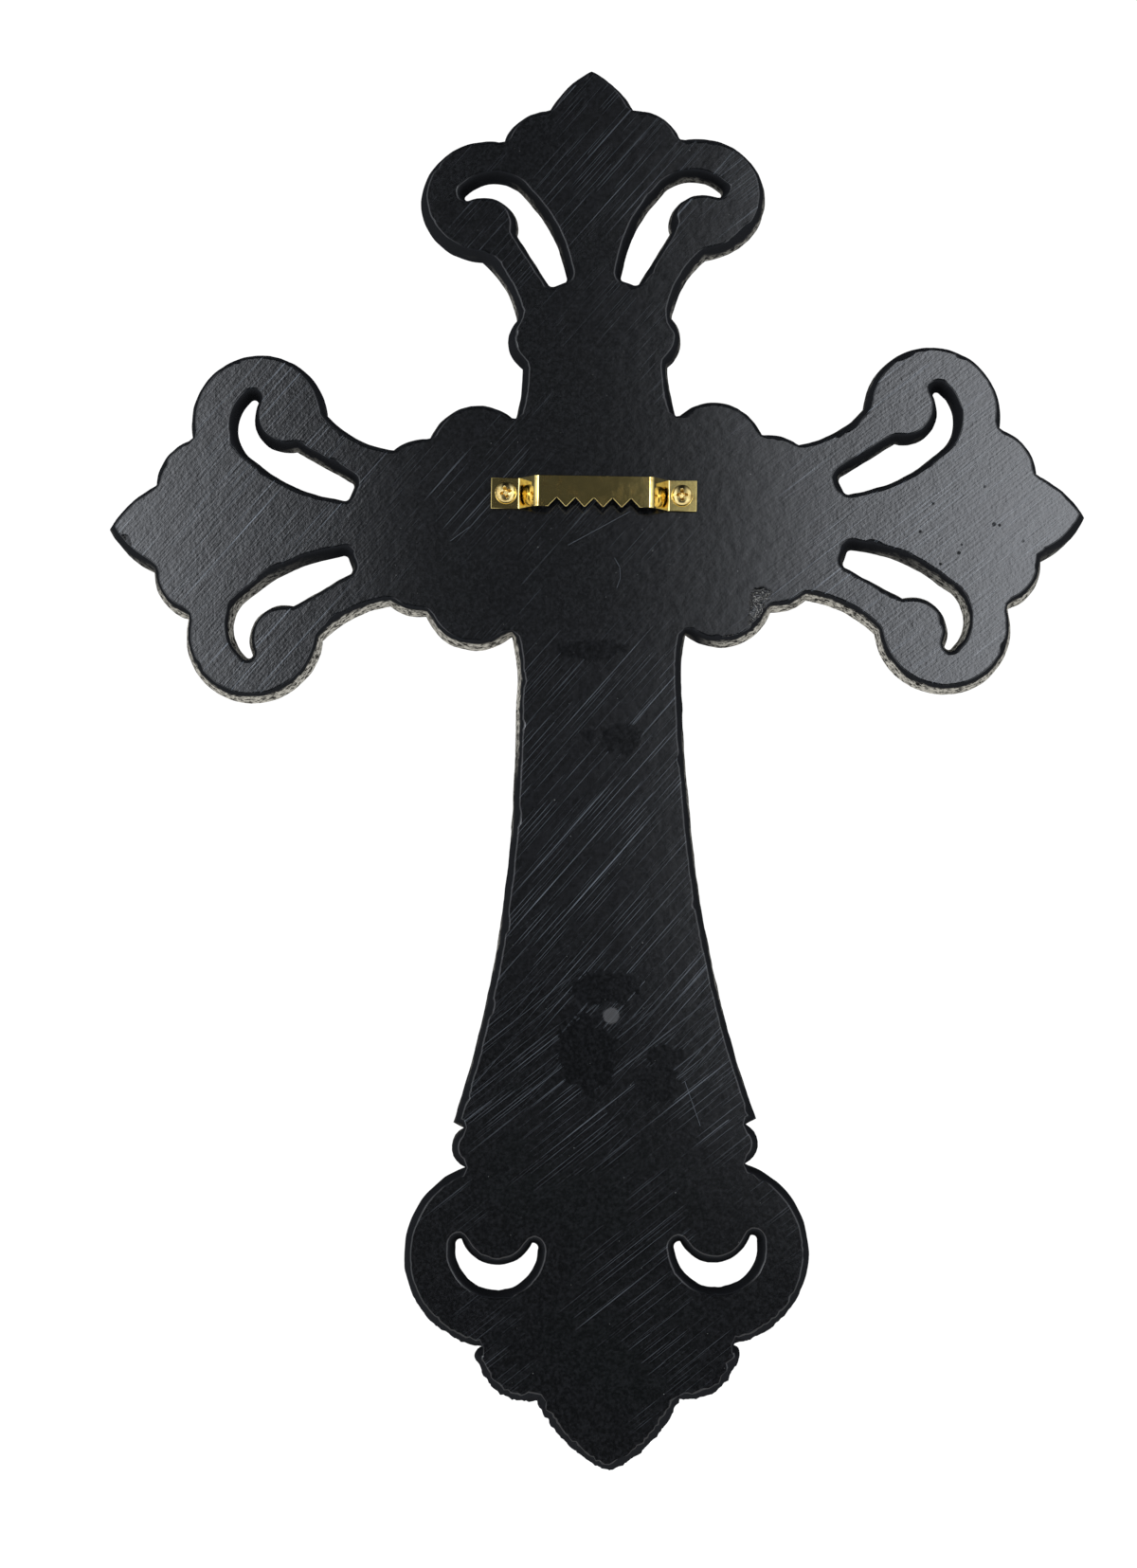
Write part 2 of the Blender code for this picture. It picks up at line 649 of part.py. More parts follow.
def strip_course():
    """Stations along the middle of the bent sheet: developed length, x, y and the sheet's slope."""
    slope = math.atan2(BRIDGE_LIFT, SLOPE_RUN)
    tangent = BEND_RADIUS * math.tan(slope / 2)
    upper, lower = BRIDGE_LENGTH / 2, BRIDGE_LENGTH / 2 + SLOPE_RUN
    bends = ((-lower, -BRIDGE_LIFT, 0.0, slope), (-upper, 0.0, slope, 0.0),
             (upper, 0.0, 0.0, -slope), (lower, -BRIDGE_LIFT, -slope, 0.0))
    stations = [(0.0, -lower - TAB_LENGTH, -BRIDGE_LIFT, 0.0)]
    for x, y, slope_in, slope_out in bends:
        start = (x - tangent * math.cos(slope_in), y - tangent * math.sin(slope_in))
        length = stations[-1][0] + math.dist(start, stations[-1][1:3])
        stations.append((length, *start, slope_in))
        turn = (slope_out - slope_in) / BEND_STEPS
        for step in range(BEND_STEPS):
            chord_slope = slope_in + (step + 0.5) * turn
            chord = 2 * BEND_RADIUS * math.sin(abs(turn) / 2)
            length, x0, y0, angle = stations[-1]
            stations.append((length + chord, x0 + chord * math.cos(chord_slope),
                             y0 + chord * math.sin(chord_slope), angle + turn))
    end = (lower + TAB_LENGTH, -BRIDGE_LIFT)
    stations.append((stations[-1][0] + math.dist(end, stations[-1][1:3]), *end, 0.0))
    return np.array(stations)


def build_hanger():
    """A flat blank with teeth and two holes, bent along the strip's course and given its thickness."""
    course = strip_course()
    bottom, top = -NOTCH_DEPTH, STRIP_WIDTH - NOTCH_DEPTH
    middle = course[-1][0] / 2
    half_notch = (TOOTH_PITCH - TOOTH_FLAT) / 2
    low_edge = [(length, bottom) for length in course[:, 0]]
    for index in range(NOTCH_COUNT):
        at = middle + (index - (NOTCH_COUNT - 1) / 2) * TOOTH_PITCH
        low_edge += [(at - half_notch, bottom), (at, 0.0), (at + half_notch, bottom)]
    low_edge.sort()
    outline = low_edge + [(length, top) for length in course[::-1, 0]]
    screw_length = TAB_LENGTH / 2
    holes = [circle((at, STRIP_MIDDLE), PILOT_RADIUS, ROUND_SIDES)
             for at in (screw_length, course[-1][0] - screw_length)]
    points = np.vstack([outline] + holes)
    bars = []
    for length in course[1:-1, 0]:
        at_station = [i for i, p in enumerate(outline) if abs(p[0] - length) < 1e-9]
        bars.append((at_station[0], at_station[-1]))
    loops = numbered([outline] + holes)
    faces = triangles_in(points, loops, bars)

    x, y, angle = (np.interp(points[:, 0], course[:, 0], course[:, k]) for k in (1, 2, 3))
    vertices = []
    for offset in (-SHEET / 2, SHEET / 2):
        vertices += list(zip(x - offset * np.sin(angle), y + offset * np.cos(angle), points[:, 1]))
    count = len(points)
    all_faces = faces + [tuple(count + i for i in face[::-1]) for face in faces]
    for loop in loops:
        all_faces += wall_faces(loop, [count + i for i in loop])
    plating = make_material("brass_plating", (0.80, 0.58, 0.24), 0.22, 1.0)
    return make_object("sawtooth_hanger", vertices, all_faces, plating)


def screw_profile():
    """Radius and height of the screw, from the top of its head to its point."""
    radius, shank = HEAD_DIAMETER / 2, SHANK_DIAMETER / 2
    crown = [(radius * math.sin(turn) ** 0.8, HEAD_EDGE + (HEAD_HEIGHT - HEAD_EDGE) * math.cos(turn) ** 0.6)
             for turn in map(math.radians, CROWN_STEPS_DEG)]
    return crown + [(radius, 0.0), (shank, 0.0), (shank, POINT_LENGTH - SHANK_LENGTH), (0.0, -SHANK_LENGTH)]


def build_screw(name, material):
    """A pan-head screw along -Y from under its head, turned from its profile."""
    profile = screw_profile()
    vertices = [(0.0, profile[0][1], 0.0)]
    for radius, height in profile[1:-1]:
        vertices += [(x, height, z) for x, z in circle((0, 0), radius, ROUND_SIDES)]
    vertices.append((0.0, profile[-1][1], 0.0))
    rings = [[1 + k * ROUND_SIDES + i for i in range(ROUND_SIDES)] for k in range(len(profile) - 2)]
    faces = [(0, rings[0][(i + 1) % ROUND_SIDES], rings[0][i]) for i in range(ROUND_SIDES)]
    for upper, lower in zip(rings, rings[1:]):
        faces += wall_faces(upper, lower)
    last = len(vertices) - 1
    faces += [(last, rings[-1][i], rings[-1][(i + 1) % ROUND_SIDES]) for i in range(ROUND_SIDES)]
    return make_object(name, vertices, faces, material)


def recess_cutter(name):
    """A cross-shaped plug that narrows towards its floor."""
    arm, half = RECESS_SPAN / 2, RECESS_WIDTH / 2
    quarter = [(half, half), (half, arm), (-half, arm)]
    outline = []
    for turn in range(4):
        cos, sin = round(math.cos(turn * math.pi / 2)), round(math.sin(turn * math.pi / 2))
        outline += [(x * cos - z * sin, x * sin + z * cos) for x, z in quarter]
    top, floor = HEAD_HEIGHT + CLEARANCE, HEAD_HEIGHT - RECESS_DEPTH
    vertices = [(x, top, z) for x, z in outline]
    vertices += [(x * RECESS_NARROWING, floor, z * RECESS_NARROWING) for x, z in outline]
    count = len(outline)
    faces = [tuple(range(count)), tuple(range(2 * count - 1, count - 1, -1))]
    faces += wall_faces(list(range(count)), list(range(count, 2 * count)))
    cutter = make_object(name, vertices, faces, bpy.data.materials["screw_plating"])
    cutter.hide_render = True
    cutter.display_type = 'WIRE'
    return cutter


def build_screws(strip_place):
    plating = make_material("screw_plating", (0.78, 0.60, 0.28), 0.3, 1.0)
    head_seat = -BRIDGE_LIFT + SHEET / 2 + CLEARANCE
    for name, side, turn in (("screw_left", 1, RECESS_TURNS_DEG[0]), ("screw_right", -1, RECESS_TURNS_DEG[1])):
        screw = build_screw(name, plating)
        cutter = recess_cutter(name + "_recess")
        cutter.parent = screw
        cut = screw.modifiers.new("recess", 'BOOLEAN')
        cut.operation = 'DIFFERENCE'
        cut.object = cutter
        screw.parent = strip_place
        screw.location = Vector((side * SCREW_AT, head_seat, STRIP_MIDDLE)) * MM
        screw.rotation_euler = (0.0, math.radians(turn), 0.0)


def main():
    for thing in list(bpy.data.objects):
        bpy.data.objects.remove(thing, do_unlink=True)
    strip_place = bpy.data.objects.new("strip_place", None)
    strip_place.rotation_euler = (0.0, -math.radians(STRIP_TILT_DEG), 0.0)
    bpy.context.collection.objects.link(strip_place)
    build_cross()
    build_hanger().parent = strip_place
    build_screws(strip_place)
    bpy.context.view_layer.update()


main()
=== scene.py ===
"""Looks for the wall cross: the casting, its sawtooth strip and screws, with floor, lights and camera.

Sizes are in millimetres and become metres when a mesh is made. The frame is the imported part's: the nail is
at the origin, +Z is up and +Y points to the wall, so the flat back that the camera sees looks along +Y.
"""
import math

import bmesh
import bpy
import numpy as np
from mathutils import Matrix, Vector, noise
from mathutils.geometry import delaunay_2d_cdt


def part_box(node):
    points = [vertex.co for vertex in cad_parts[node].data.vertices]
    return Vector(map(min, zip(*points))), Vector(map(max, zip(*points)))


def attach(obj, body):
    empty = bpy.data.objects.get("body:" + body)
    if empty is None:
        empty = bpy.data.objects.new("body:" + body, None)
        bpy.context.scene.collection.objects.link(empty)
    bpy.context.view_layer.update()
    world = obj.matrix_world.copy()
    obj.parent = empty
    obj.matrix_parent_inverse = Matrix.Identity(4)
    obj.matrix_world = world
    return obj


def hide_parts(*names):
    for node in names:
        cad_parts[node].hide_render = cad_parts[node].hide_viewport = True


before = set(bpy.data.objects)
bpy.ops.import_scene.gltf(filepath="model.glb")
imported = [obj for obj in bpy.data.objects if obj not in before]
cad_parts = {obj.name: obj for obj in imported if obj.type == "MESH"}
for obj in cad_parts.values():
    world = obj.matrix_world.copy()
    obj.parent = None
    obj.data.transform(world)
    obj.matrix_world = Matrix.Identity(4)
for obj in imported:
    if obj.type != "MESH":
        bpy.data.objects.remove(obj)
bpy.context.view_layer.update()

MM = 0.001

# The casting, as the solids have it
BACK_Y = -6.2               # flat back
CROSSING = (-0.7, -4.6)     # where the axes of the limbs cross: x, z
WALL_HEIGHT = 7.6           # flat back to the widest line of the wall
RIM_RISE = 1.8
RIM_CREST_IN = 1.7
RIM_WIDTH = 3.4
GROUND_RISE = 0.6
GROUND_SWELL = 2.6
SWELL_REACH = 9.0
STRIP_TILT_DEG = 1.6
SCREW_AT = 19.275           # middle of the strip to a screw
STRIP_MIDDLE = 1.5          # height of the strip's middle above the nail
PILOT_RADIUS = 1.45
PILOT_DEPTH = 6.9
PILOT_SIDES = 24

# Fineness
CORNER_DEG = 28.0
OUTLINE_STEP = 0.8
FRONT_STEP = 1.0
BACK_STEP = 7.0
EVEN_SPANS = 2.2            # where neighbouring spans differ more than this, the longer one starts straight
BLOCK = 2000                # points measured at once


# Curves in the plane of the cross

def signed_area(points):
    x, z = np.array(points).T
    return 0.5 * float(np.sum(x * np.roll(z, -1) - np.roll(x, -1) * z))


def widest_loops(solid):
    """Closed loops (x, z) of the casting's widest line, the outline first, with the resin on their right."""
    places = [tuple(round(c / MM, 3) for c in vertex.co) for vertex in solid.data.vertices]
    widest_y = round(BACK_Y - WALL_HEIGHT, 3)
    ahead = {}
    for face in solid.data.polygons:
        corners = [places[i] for i in face.vertices]
        for index, start in enumerate(corners):
            end, third = corners[(index + 1) % 3], corners[(index + 2) % 3]
            if start[1] == end[1] == widest_y and third[1] > widest_y + 1.0:
                ahead[start[0], start[2]] = (end[0], end[2])
    loops = []
    while ahead:
        start, place = ahead.popitem()
        loop = [start]
        while place != start:
            loop.append(place)
            place = ahead.pop(place)
        loops.append(np.array(loop))
    loops.sort(key=lambda loop: -abs(signed_area(loop)))
    if signed_area(loops[0]) > 0:
        loops = [loop[::-1] for loop in loops]
    return loops


def unit(vectors):
    return vectors / np.maximum(np.linalg.norm(vectors, axis=-1, keepdims=True), 1e-12)


class Run:
    """A smooth stretch of a loop between two corners, with its outward directions."""

    def __init__(self, points, turn_in, turn_out):
        self.points = points
        self.turns = (turn_in, turn_out)
        steps = np.linalg.norm(np.diff(points, axis=0), axis=1)
        self.lengths = np.concatenate(([0.0], np.cumsum(steps)))
        ahead = unit(np.gradient(points, self.lengths, axis=0))
        self.outward = np.column_stack((-ahead[:, 1], ahead[:, 0]))

    def inset(self, distance):
        """The run moved into the resin, its ends drawn in where the outline closes up at an outer corner."""
        total = self.lengths[-1]
        trims = [distance * math.tan(max(0.0, -turn) / 2) for turn in self.turns]
        limit = 0.8 * total / max(sum(trims), 1e-9)
        start, end = (trim * min(1.0, limit) for trim in trims)
        at = start + self.lengths * (total - start - end) / total
        place = np.column_stack([np.interp(at, self.lengths, self.points[:, k]) for k in (0, 1)])
        away = unit(np.column_stack([np.interp(at, self.lengths, self.outward[:, k]) for k in (0, 1)]))
        return place - distance * away


def smooth_runs(loop):
    """The loop's runs from corner to corner, with points about OUTLINE_STEP apart on arcs through its own."""
    ahead = unit(np.roll(loop, -1, axis=0) - loop)
    behind = np.roll(ahead, 1, axis=0)
    turns = np.arctan2(behind[:, 0] * ahead[:, 1] - behind[:, 1] * ahead[:, 0], (behind * ahead).sum(axis=1))
    is_corner = np.abs(turns) > math.radians(CORNER_DEG)
    spans = np.linalg.norm(np.roll(loop, -1, axis=0) - loop, axis=1)
    spans_behind = np.roll(spans, 1)
    tangents = unit(behind * spans[:, None] + ahead * spans_behind[:, None])
    ratio = spans / spans_behind
    tangents[ratio > EVEN_SPANS] = ahead[ratio > EVEN_SPANS]
    tangents[ratio < 1 / EVEN_SPANS] = behind[ratio < 1 / EVEN_SPANS]
    corners = list(np.flatnonzero(is_corner))
    assert corners, "a loop with no corner"
    runs = []
    for first, last in zip(corners, corners[1:] + [corners[0] + len(loop)]):
        points = [loop[first]]
        for index in range(first, last):
            i, j = index % len(loop), (index + 1) % len(loop)
            chord = loop[j] - loop[i]
            lead = tangents[i] * spans[i] if index > first else None
            trail = tangents[j] * spans[i] if index + 1 < last else None
            if lead is None and trail is None:
                lead = trail = chord
            elif lead is None:
                lead = 2 * chord - trail
            elif trail is None:
                trail = 2 * chord - lead
            count = max(1, round(spans[i] / OUTLINE_STEP))
            for t in np.arange(1, count + 1) / count:
                points.append((2 * t ** 3 - 3 * t ** 2 + 1) * loop[i] + (t ** 3 - 2 * t ** 2 + t) * lead
                              + (3 * t ** 2 - 2 * t ** 3) * loop[j] + (t ** 3 - t ** 2) * trail)
        runs.append(Run(np.array(points), turns[first], turns[last % len(loop)]))
    return runs


def outward(loop):
    """Directions away from the resin at the points of a loop."""
    ahead = unit(np.roll(loop, -1, axis=0) - np.roll(loop, 1, axis=0))
    return np.column_stack((-ahead[:, 1], ahead[:, 0]))


def turned(points, clockwise):
    return points if (signed_area(points) < 0) == clockwise else points[::-1]


def inset_loop(runs, distance):
    """The loop made of the runs, moved into the resin. Neighbouring runs meet halfway."""
    moved = [run.inset(distance) for run in runs]
    points = []
    for index, part in enumerate(moved):
        points.append((part[:1] + moved[index - 1][-1:]) / 2)
        points.append(part[1:-1])
    return np.vstack(points)


def edge_distance(points, loops):
    """Distance from each point to the nearest edge of the loops."""
    starts = np.vstack(loops)
    spans = np.vstack([np.roll(loop, -1, axis=0) - loop for loop in loops])
    squares = np.maximum((spans ** 2).sum(axis=1), 1e-12)
    best = np.empty(len(points))
    for first in range(0, len(points), BLOCK):
        block = points[first:first + BLOCK]
        offset_x = block[:, None, 0] - starts[None, :, 0]
        offset_z = block[:, None, 1] - starts[None, :, 1]
        share = np.clip((offset_x * spans[:, 0] + offset_z * spans[:, 1]) / squares, 0.0, 1.0)
        gap = (offset_x - share * spans[:, 0]) ** 2 + (offset_z - share * spans[:, 1]) ** 2
        best[first:first + BLOCK] = np.sqrt(gap.min(axis=1))
    return best


def inside(points, loops):
    """Which points lie in the resin: inside an odd number of loops."""
    odd = np.zeros(len(points), bool)
    for loop in loops:
        for (x0, z0), (x1, z1) in zip(loop, np.roll(loop, -1, axis=0)):
            if z0 != z1:
                level = (points[:, 1] >= min(z0, z1)) & (points[:, 1] < max(z0, z1))
                odd ^= level & (points[:, 0] < x0 + (points[:, 1] - z0) * (x1 - x0) / (z1 - z0))
    return odd


def grid_points(loops, step):
    """A hexagonal grid over the whole cross."""
    low, high = loops[0].min(axis=0), loops[0].max(axis=0)
    rows = np.arange(low[1], high[1], step * math.sqrt(3) / 2)
    columns = np.arange(low[0], high[0], step)
    return np.vstack([np.column_stack((columns + step / 2 * (k % 2), np.full(len(columns), z)))
                      for k, z in enumerate(rows)])


def triangles_in(points, loops, bars=()):
    """Triangles that fill the loops, which are index lists, and keep the bars as edges."""
    edges = [(loop[i], loop[(i + 1) % len(loop)]) for loop in loops for i in range(len(loop))]
    result = delaunay_2d_cdt([Vector(p) for p in points], edges + list(bars), [], 0, 1e-7)
    corners, _, faces, originals = result[:4]
    assert all(originals), "edges of the casting cross each other"
    places = np.array([c[:] for c in corners])
    triangles = np.array([face[:] for face in faces])
    filled = inside(places[triangles].mean(axis=1), [np.array(points)[loop] for loop in loops])
    index_of = np.array([source[0] for source in originals])
    return [tuple(t) for t in index_of[triangles[filled]].tolist()]


def ramp(value, start, end):
    share = np.clip((value - start) / (end - start), 0.0, 1.0)
    return share * share * (3 - 2 * share)


def ragged(points, height, reach, seed):
    """Smooth noise for each point of a row at a height, about -1 to 1."""
    return np.array([noise.noise(Vector((x / reach, z / reach, height / reach + seed))) for x, z in points])


# Carved front, in places measured from the crossing of the limbs

ROSETTE_RADIUS = 15.5
ROSETTE_RISE = 3.4
PETALS = 8
EYES = ((22.9, 68.1), (69.2, 23.6), (70.6, -22.7), (23.8, -154.6))     # scroll middles on one side
EYE_RADIUS = 3.6
EYE_RISE = 2.0
BAND_WIDTH = 5.0
BAND_RISE = 1.5
KEEL_WIDTH = 8.0
KEEL_RISE = 1.6
TOP_BAND, SIDE_BAND, FOOT_BAND = 40.7, 41.3, 136.1
TOP_REACH, SIDE_REACH, FOOT_REACH = 101.6, 107.5, 206.6
VEIN_PITCH = 4.6
VEIN_RISE = 0.34
VEIN_LEAN = 0.9             # how far a vein runs out along the limb, for each millimetre across it
ROPE_PITCH = 3.2
ROPE_LEAN = 0.8
FULL_RISE = 2.2             # carving this high stands out fully


def rim_height(distance):
    """Height of the rim and the ground beside it above the flat back, by distance from the outline."""
    climb = np.sqrt(np.clip(1 - (1 - distance / RIM_CREST_IN) ** 2, 0.0, 1.0))
    down = np.clip((distance - RIM_CREST_IN) / (RIM_WIDTH - RIM_CREST_IN), 0.0, 1.0)
    fall = 0.5 + 0.5 * np.cos(np.pi * down)
    rim = np.where(distance < RIM_CREST_IN, RIM_RISE * climb, GROUND_RISE + (RIM_RISE - GROUND_RISE) * fall)
    return WALL_HEIGHT + rim + GROUND_SWELL * ramp(distance, RIM_WIDTH, RIM_WIDTH + SWELL_REACH)


def bump_of(share):
    """A round hump: 1 at 0, falling to 0 at 1 and beyond."""
    return 0.5 + 0.5 * np.cos(np.pi * np.clip(np.abs(share), 0.0, 1.0))


def rosette(points):
    """Two rows of petals and a boss inside a ring."""
    radius = np.linalg.norm(points, axis=1) / ROSETTE_RADIUS
    angle = np.arctan2(points[:, 0], points[:, 1])

    def petals(turn, reach):
        """A ring of petals: full in the middle, creased between them, with rounded ends at the reach."""
        sector = np.abs((PETALS * (angle - turn) / (2 * np.pi) + 0.5) % 1.0 - 0.5) * 2
        share = np.clip(radius / (reach * (1 - 0.2 * sector ** 2)), 0.0, 1.0)
        return (0.55 + 0.45 * share) * np.sqrt((1 - share ** 8) * (1 - 0.9 * sector ** 2))

    outer = 0.6 * petals(0.0, 0.86)
    inner = 0.85 * petals(np.pi / PETALS, 0.5)
    boss = np.sqrt(np.clip(1 - (radius / 0.18) ** 2, 0.0, 1.0))
    ring = 0.55 * bump_of((radius - 0.93) / 0.08)
    return ROSETTE_RISE * np.maximum.reduce([outer, inner, boss, ring])


def ridge(along, out, start, end, width, rise):
    """A rib from start to end that is highest on its axis and tapers to both ends."""
    taper = np.sin(np.pi * np.clip((along - start) / (end - start), 0.0, 1.0)) ** 0.5
    return rise * taper * bump_of(2 * out / (width * np.maximum(taper, 0.05)))


def limbs(points):
    """For each limb: distance along it, distance from its axis, reach and the place of its band."""
    across, up = points.T
    return (
        (up, across, TOP_REACH, TOP_BAND),
        (np.abs(across), up, SIDE_REACH, SIDE_BAND),
        (-up, across, FOOT_REACH, FOOT_BAND),
    )


def carving(points, distance):
    """Height of the carved front above the flat back, and how much each place stands out, from 0 to 1."""
    local = points - CROSSING
    inner = ramp(distance, RIM_CREST_IN, RIM_WIDTH)
    clear = ramp(distance, RIM_WIDTH, RIM_WIDTH + 1.6)
    extra = rosette(local)
    veins = np.zeros(len(points))
    beyond = ramp(np.linalg.norm(local, axis=1), ROSETTE_RADIUS, ROSETTE_RADIUS + 2.0)
    for along, out, reach, band_at in limbs(local):
        here = (along > np.abs(out)) & (along > ROSETTE_RADIUS)
        for start, end in ((ROSETTE_RADIUS, band_at), (band_at, reach - RIM_WIDTH)):
            extra = np.maximum(extra, ridge(along, out, start, end, KEEL_WIDTH, KEEL_RISE))
        strap = BAND_RISE * bump_of(2 * (along - band_at) / BAND_WIDTH) ** 0.5
        rope = 0.3 * np.cos(2 * np.pi * (out + ROPE_LEAN * (along - band_at)) / ROPE_PITCH)
        extra = np.maximum(extra, strap * (1 + rope * (strap > 0.3)))
        herring = 0.5 + 0.5 * np.cos(2 * np.pi * (along - VEIN_LEAN * np.abs(out)) / VEIN_PITCH)
        open_ground = ramp(np.abs(out), 0.25 * KEEL_WIDTH, 0.45 * KEEL_WIDTH)
        open_ground *= ramp(np.abs(along - band_at), 0.5 * BAND_WIDTH, 0.7 * BAND_WIDTH)
        veins = np.where(here, herring * open_ground, veins)
    for x, z in EYES:
        for side in (-1, 1):
            radius = np.linalg.norm(local - (side * x, z), axis=1) / EYE_RADIUS
            dome = EYE_RISE * np.sqrt(np.clip(1 - radius ** 2, 0.0, 1.0))
            extra = np.maximum(extra, dome - 0.35 * bump_of((radius - 0.62) / 0.12))
            veins *= ramp(radius, 1.0, 1.4)
    height = rim_height(distance) + inner * extra + clear * beyond * VEIN_RISE * veins
    crest = bump_of((distance - RIM_CREST_IN) / 1.5)
    raised = inner * np.clip(extra / FULL_RISE, 0.0, 1.0)
    stands_out = np.maximum.reduce([crest, raised, 0.75 * clear * beyond * veins])
    return height, stands_out


# The casting

WALL_ROWS = (               # inset from the widest line, height above the flat back
    (1.80, 0.00), (1.52, 0.05), (1.30, 0.19), (1.14, 0.42), (1.03, 0.78), (0.93, 1.35), (0.78, 2.30),
    (0.60, 3.50), (0.40, 4.80), (0.20, 6.00), (0.06, 6.90), (0.0, 7.60),
)
FRONT_ROWS = (0.06, 0.26, 0.62, 1.10)     # insets
EDGE_ROWS = 1               # how many steps between them have the paint of the back
FLAT_NORMAL = 0.9999        # above this a face belongs to the flat back
WALL_WAVE = 0.14            # unevenness of the cast wall
WALL_GRIT = 0.07
FOOT_GRIT = 0.65            # more of it on the rough foot
ROUGH_END_Z = -178.0        # below this the casting is rougher


def numbered(loops, first=0):
    """Index lists for loops whose points are stacked one after another."""
    lists = []
    for loop in loops:
        lists.append(list(range(first, first + len(loop))))
        first += len(loop)
    return lists


def wall_faces(lower, upper):
    count = len(lower)
    return [(lower[i], lower[(i + 1) % count], upper[(i + 1) % count], upper[i]) for i in range(count)]


def circle(middle, radius, count):
    angles = 2 * math.pi * np.arange(count) / count
    return np.array(middle) + radius * np.column_stack((np.sin(angles), np.cos(angles)))


def pilot_middles():
    """Middles of the two pilot holes, on the tilted strip."""
    return on_strip([(side * SCREW_AT, 0.0, STRIP_MIDDLE) for side in (-1, 1)])[:, [0, 2]]


def weathered(row, away, height):
    """A row of the wall with the unevenness of a rough casting and nicks along its sanded back edge.

    Each noise has its reach in millimetres and a seed. Long waves and nicks run on from row to row.
    """
    wave = ragged(row, 0.0, 14.0, 3.0)
    lumps = ragged(row, height, 3.2, 11.0)
    grit = ragged(row, height, 1.3, 17.0)
    foot = ramp(-row[:, 1], -ROUGH_END_Z - 10.0, -ROUGH_END_Z + 10.0)
    near_back = float(ramp(np.array(height), 2.2, 0.2))
    nicks = ramp(ragged(row, 0.0, 6.0, 29.0) + 0.35 * ragged(row, height, 1.6, 31.0), 0.25, 0.62)
    shift = WALL_WAVE * (wave + lumps) + (WALL_GRIT + FOOT_GRIT * foot) * grit
    shift -= near_back * (0.12 + 0.4 * near_back) * nicks
    return row + shift[:, None] * away


def build_casting():
    """Vertices, faces, the material slot of each face, and how much each vertex stands out."""
    runs_of = [smooth_runs(loop) for loop in widest_loops(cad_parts["cross"])]
    widest = [inset_loop(runs, 0.0) for runs in runs_of]
    count = sum(len(loop) for loop in widest)
    away = np.vstack([outward(loop) for loop in widest])
    rows = [weathered(np.vstack([inset_loop(runs, distance) for runs in runs_of]), away, height)
            for distance, height in WALL_ROWS]
    heights = [np.full(count, height) for _, height in WALL_ROWS]
    rim = rows[-1] - np.vstack(widest)
    for distance in FRONT_ROWS:
        rows.append(np.vstack([inset_loop(runs, distance) for runs in runs_of]) + rim)
        heights.append(np.full(count, float(rim_height(np.array(distance)))))

    grid = grid_points(widest, FRONT_STEP)
    grid = grid[inside(grid, widest)]
    reach = edge_distance(grid, widest)
    far_in = reach > FRONT_ROWS[-1] + 0.45 * FRONT_STEP
    grid, reach = grid[far_in], reach[far_in]
    carved, stands_out = carving(grid, reach)
    carved += 0.05 * ragged(grid, 0.0, 2.0, 41.0)

    pilots = [turned(circle(middle, PILOT_RADIUS, PILOT_SIDES), False) for middle in pilot_middles()]
    pilot_walls = np.vstack(pilots)
    back_edges = np.split(rows[0], np.cumsum([len(loop) for loop in widest])[:-1]) + pilots
    sparse = grid_points(widest, BACK_STEP)
    sparse = sparse[inside(sparse, back_edges)]
    sparse = sparse[edge_distance(sparse, back_edges) > 0.4 * BACK_STEP]

    groups = rows + [grid, pilot_walls, sparse, pilot_walls]
    firsts = np.cumsum([0] + [len(group) for group in groups])
    depths = heights + [carved, np.zeros(len(pilot_walls)), np.zeros(len(sparse)),
                        np.full(len(pilot_walls), PILOT_DEPTH)]
    places = np.vstack(groups)
    vertices = np.column_stack((places[:, 0], BACK_Y - np.concatenate(depths), places[:, 1]))
    low, high = (np.array(corner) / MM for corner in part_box("cross"))
    vertices = np.clip(vertices, low, high)

    walls = []
    for k in range(len(rows) - 1):
        for lower, upper in zip(numbered(widest, k * count), numbered(widest, (k + 1) * count)):
            walls += wall_faces(lower, upper)
    edge_count, wall_count = count * EDGE_ROWS, count * (len(WALL_ROWS) - 1)
    grid_first, pilot_first, floor_first = firsts[len(rows)], firsts[len(rows) + 1], firsts[len(rows) + 3]
    front = triangles_in(np.vstack((rows[-1], grid)), numbered(widest))
    front = [tuple(i + int(grid_first) - count for i in face) for face in front]
    back = triangles_in(np.vstack((rows[0], pilot_walls, sparse)), numbered(widest) + numbered(pilots, count))
    back = [tuple(i if i < count else i - count + int(pilot_first) for i in face) for face in back]
    holes = []
    for mouth, floor in zip(numbered(pilots, int(pilot_first)), numbered(pilots, int(floor_first))):
        holes += wall_faces(mouth, floor) + [tuple(floor)]
    faces = back + walls + front + holes
    slots = [0] * (len(back) + edge_count) + [1] * (wall_count - edge_count)
    slots += [2] * (len(walls) - wall_count + len(front)) + [0] * len(holes)
    raised = np.zeros(len(vertices))
    raised[grid_first:pilot_first] = stands_out
    for k, distance in enumerate(FRONT_ROWS):
        first = (len(WALL_ROWS) + k) * count
        raised[first:first + count] = bump_of((distance - RIM_CREST_IN) / 1.5)
    return vertices, faces, slots, raised


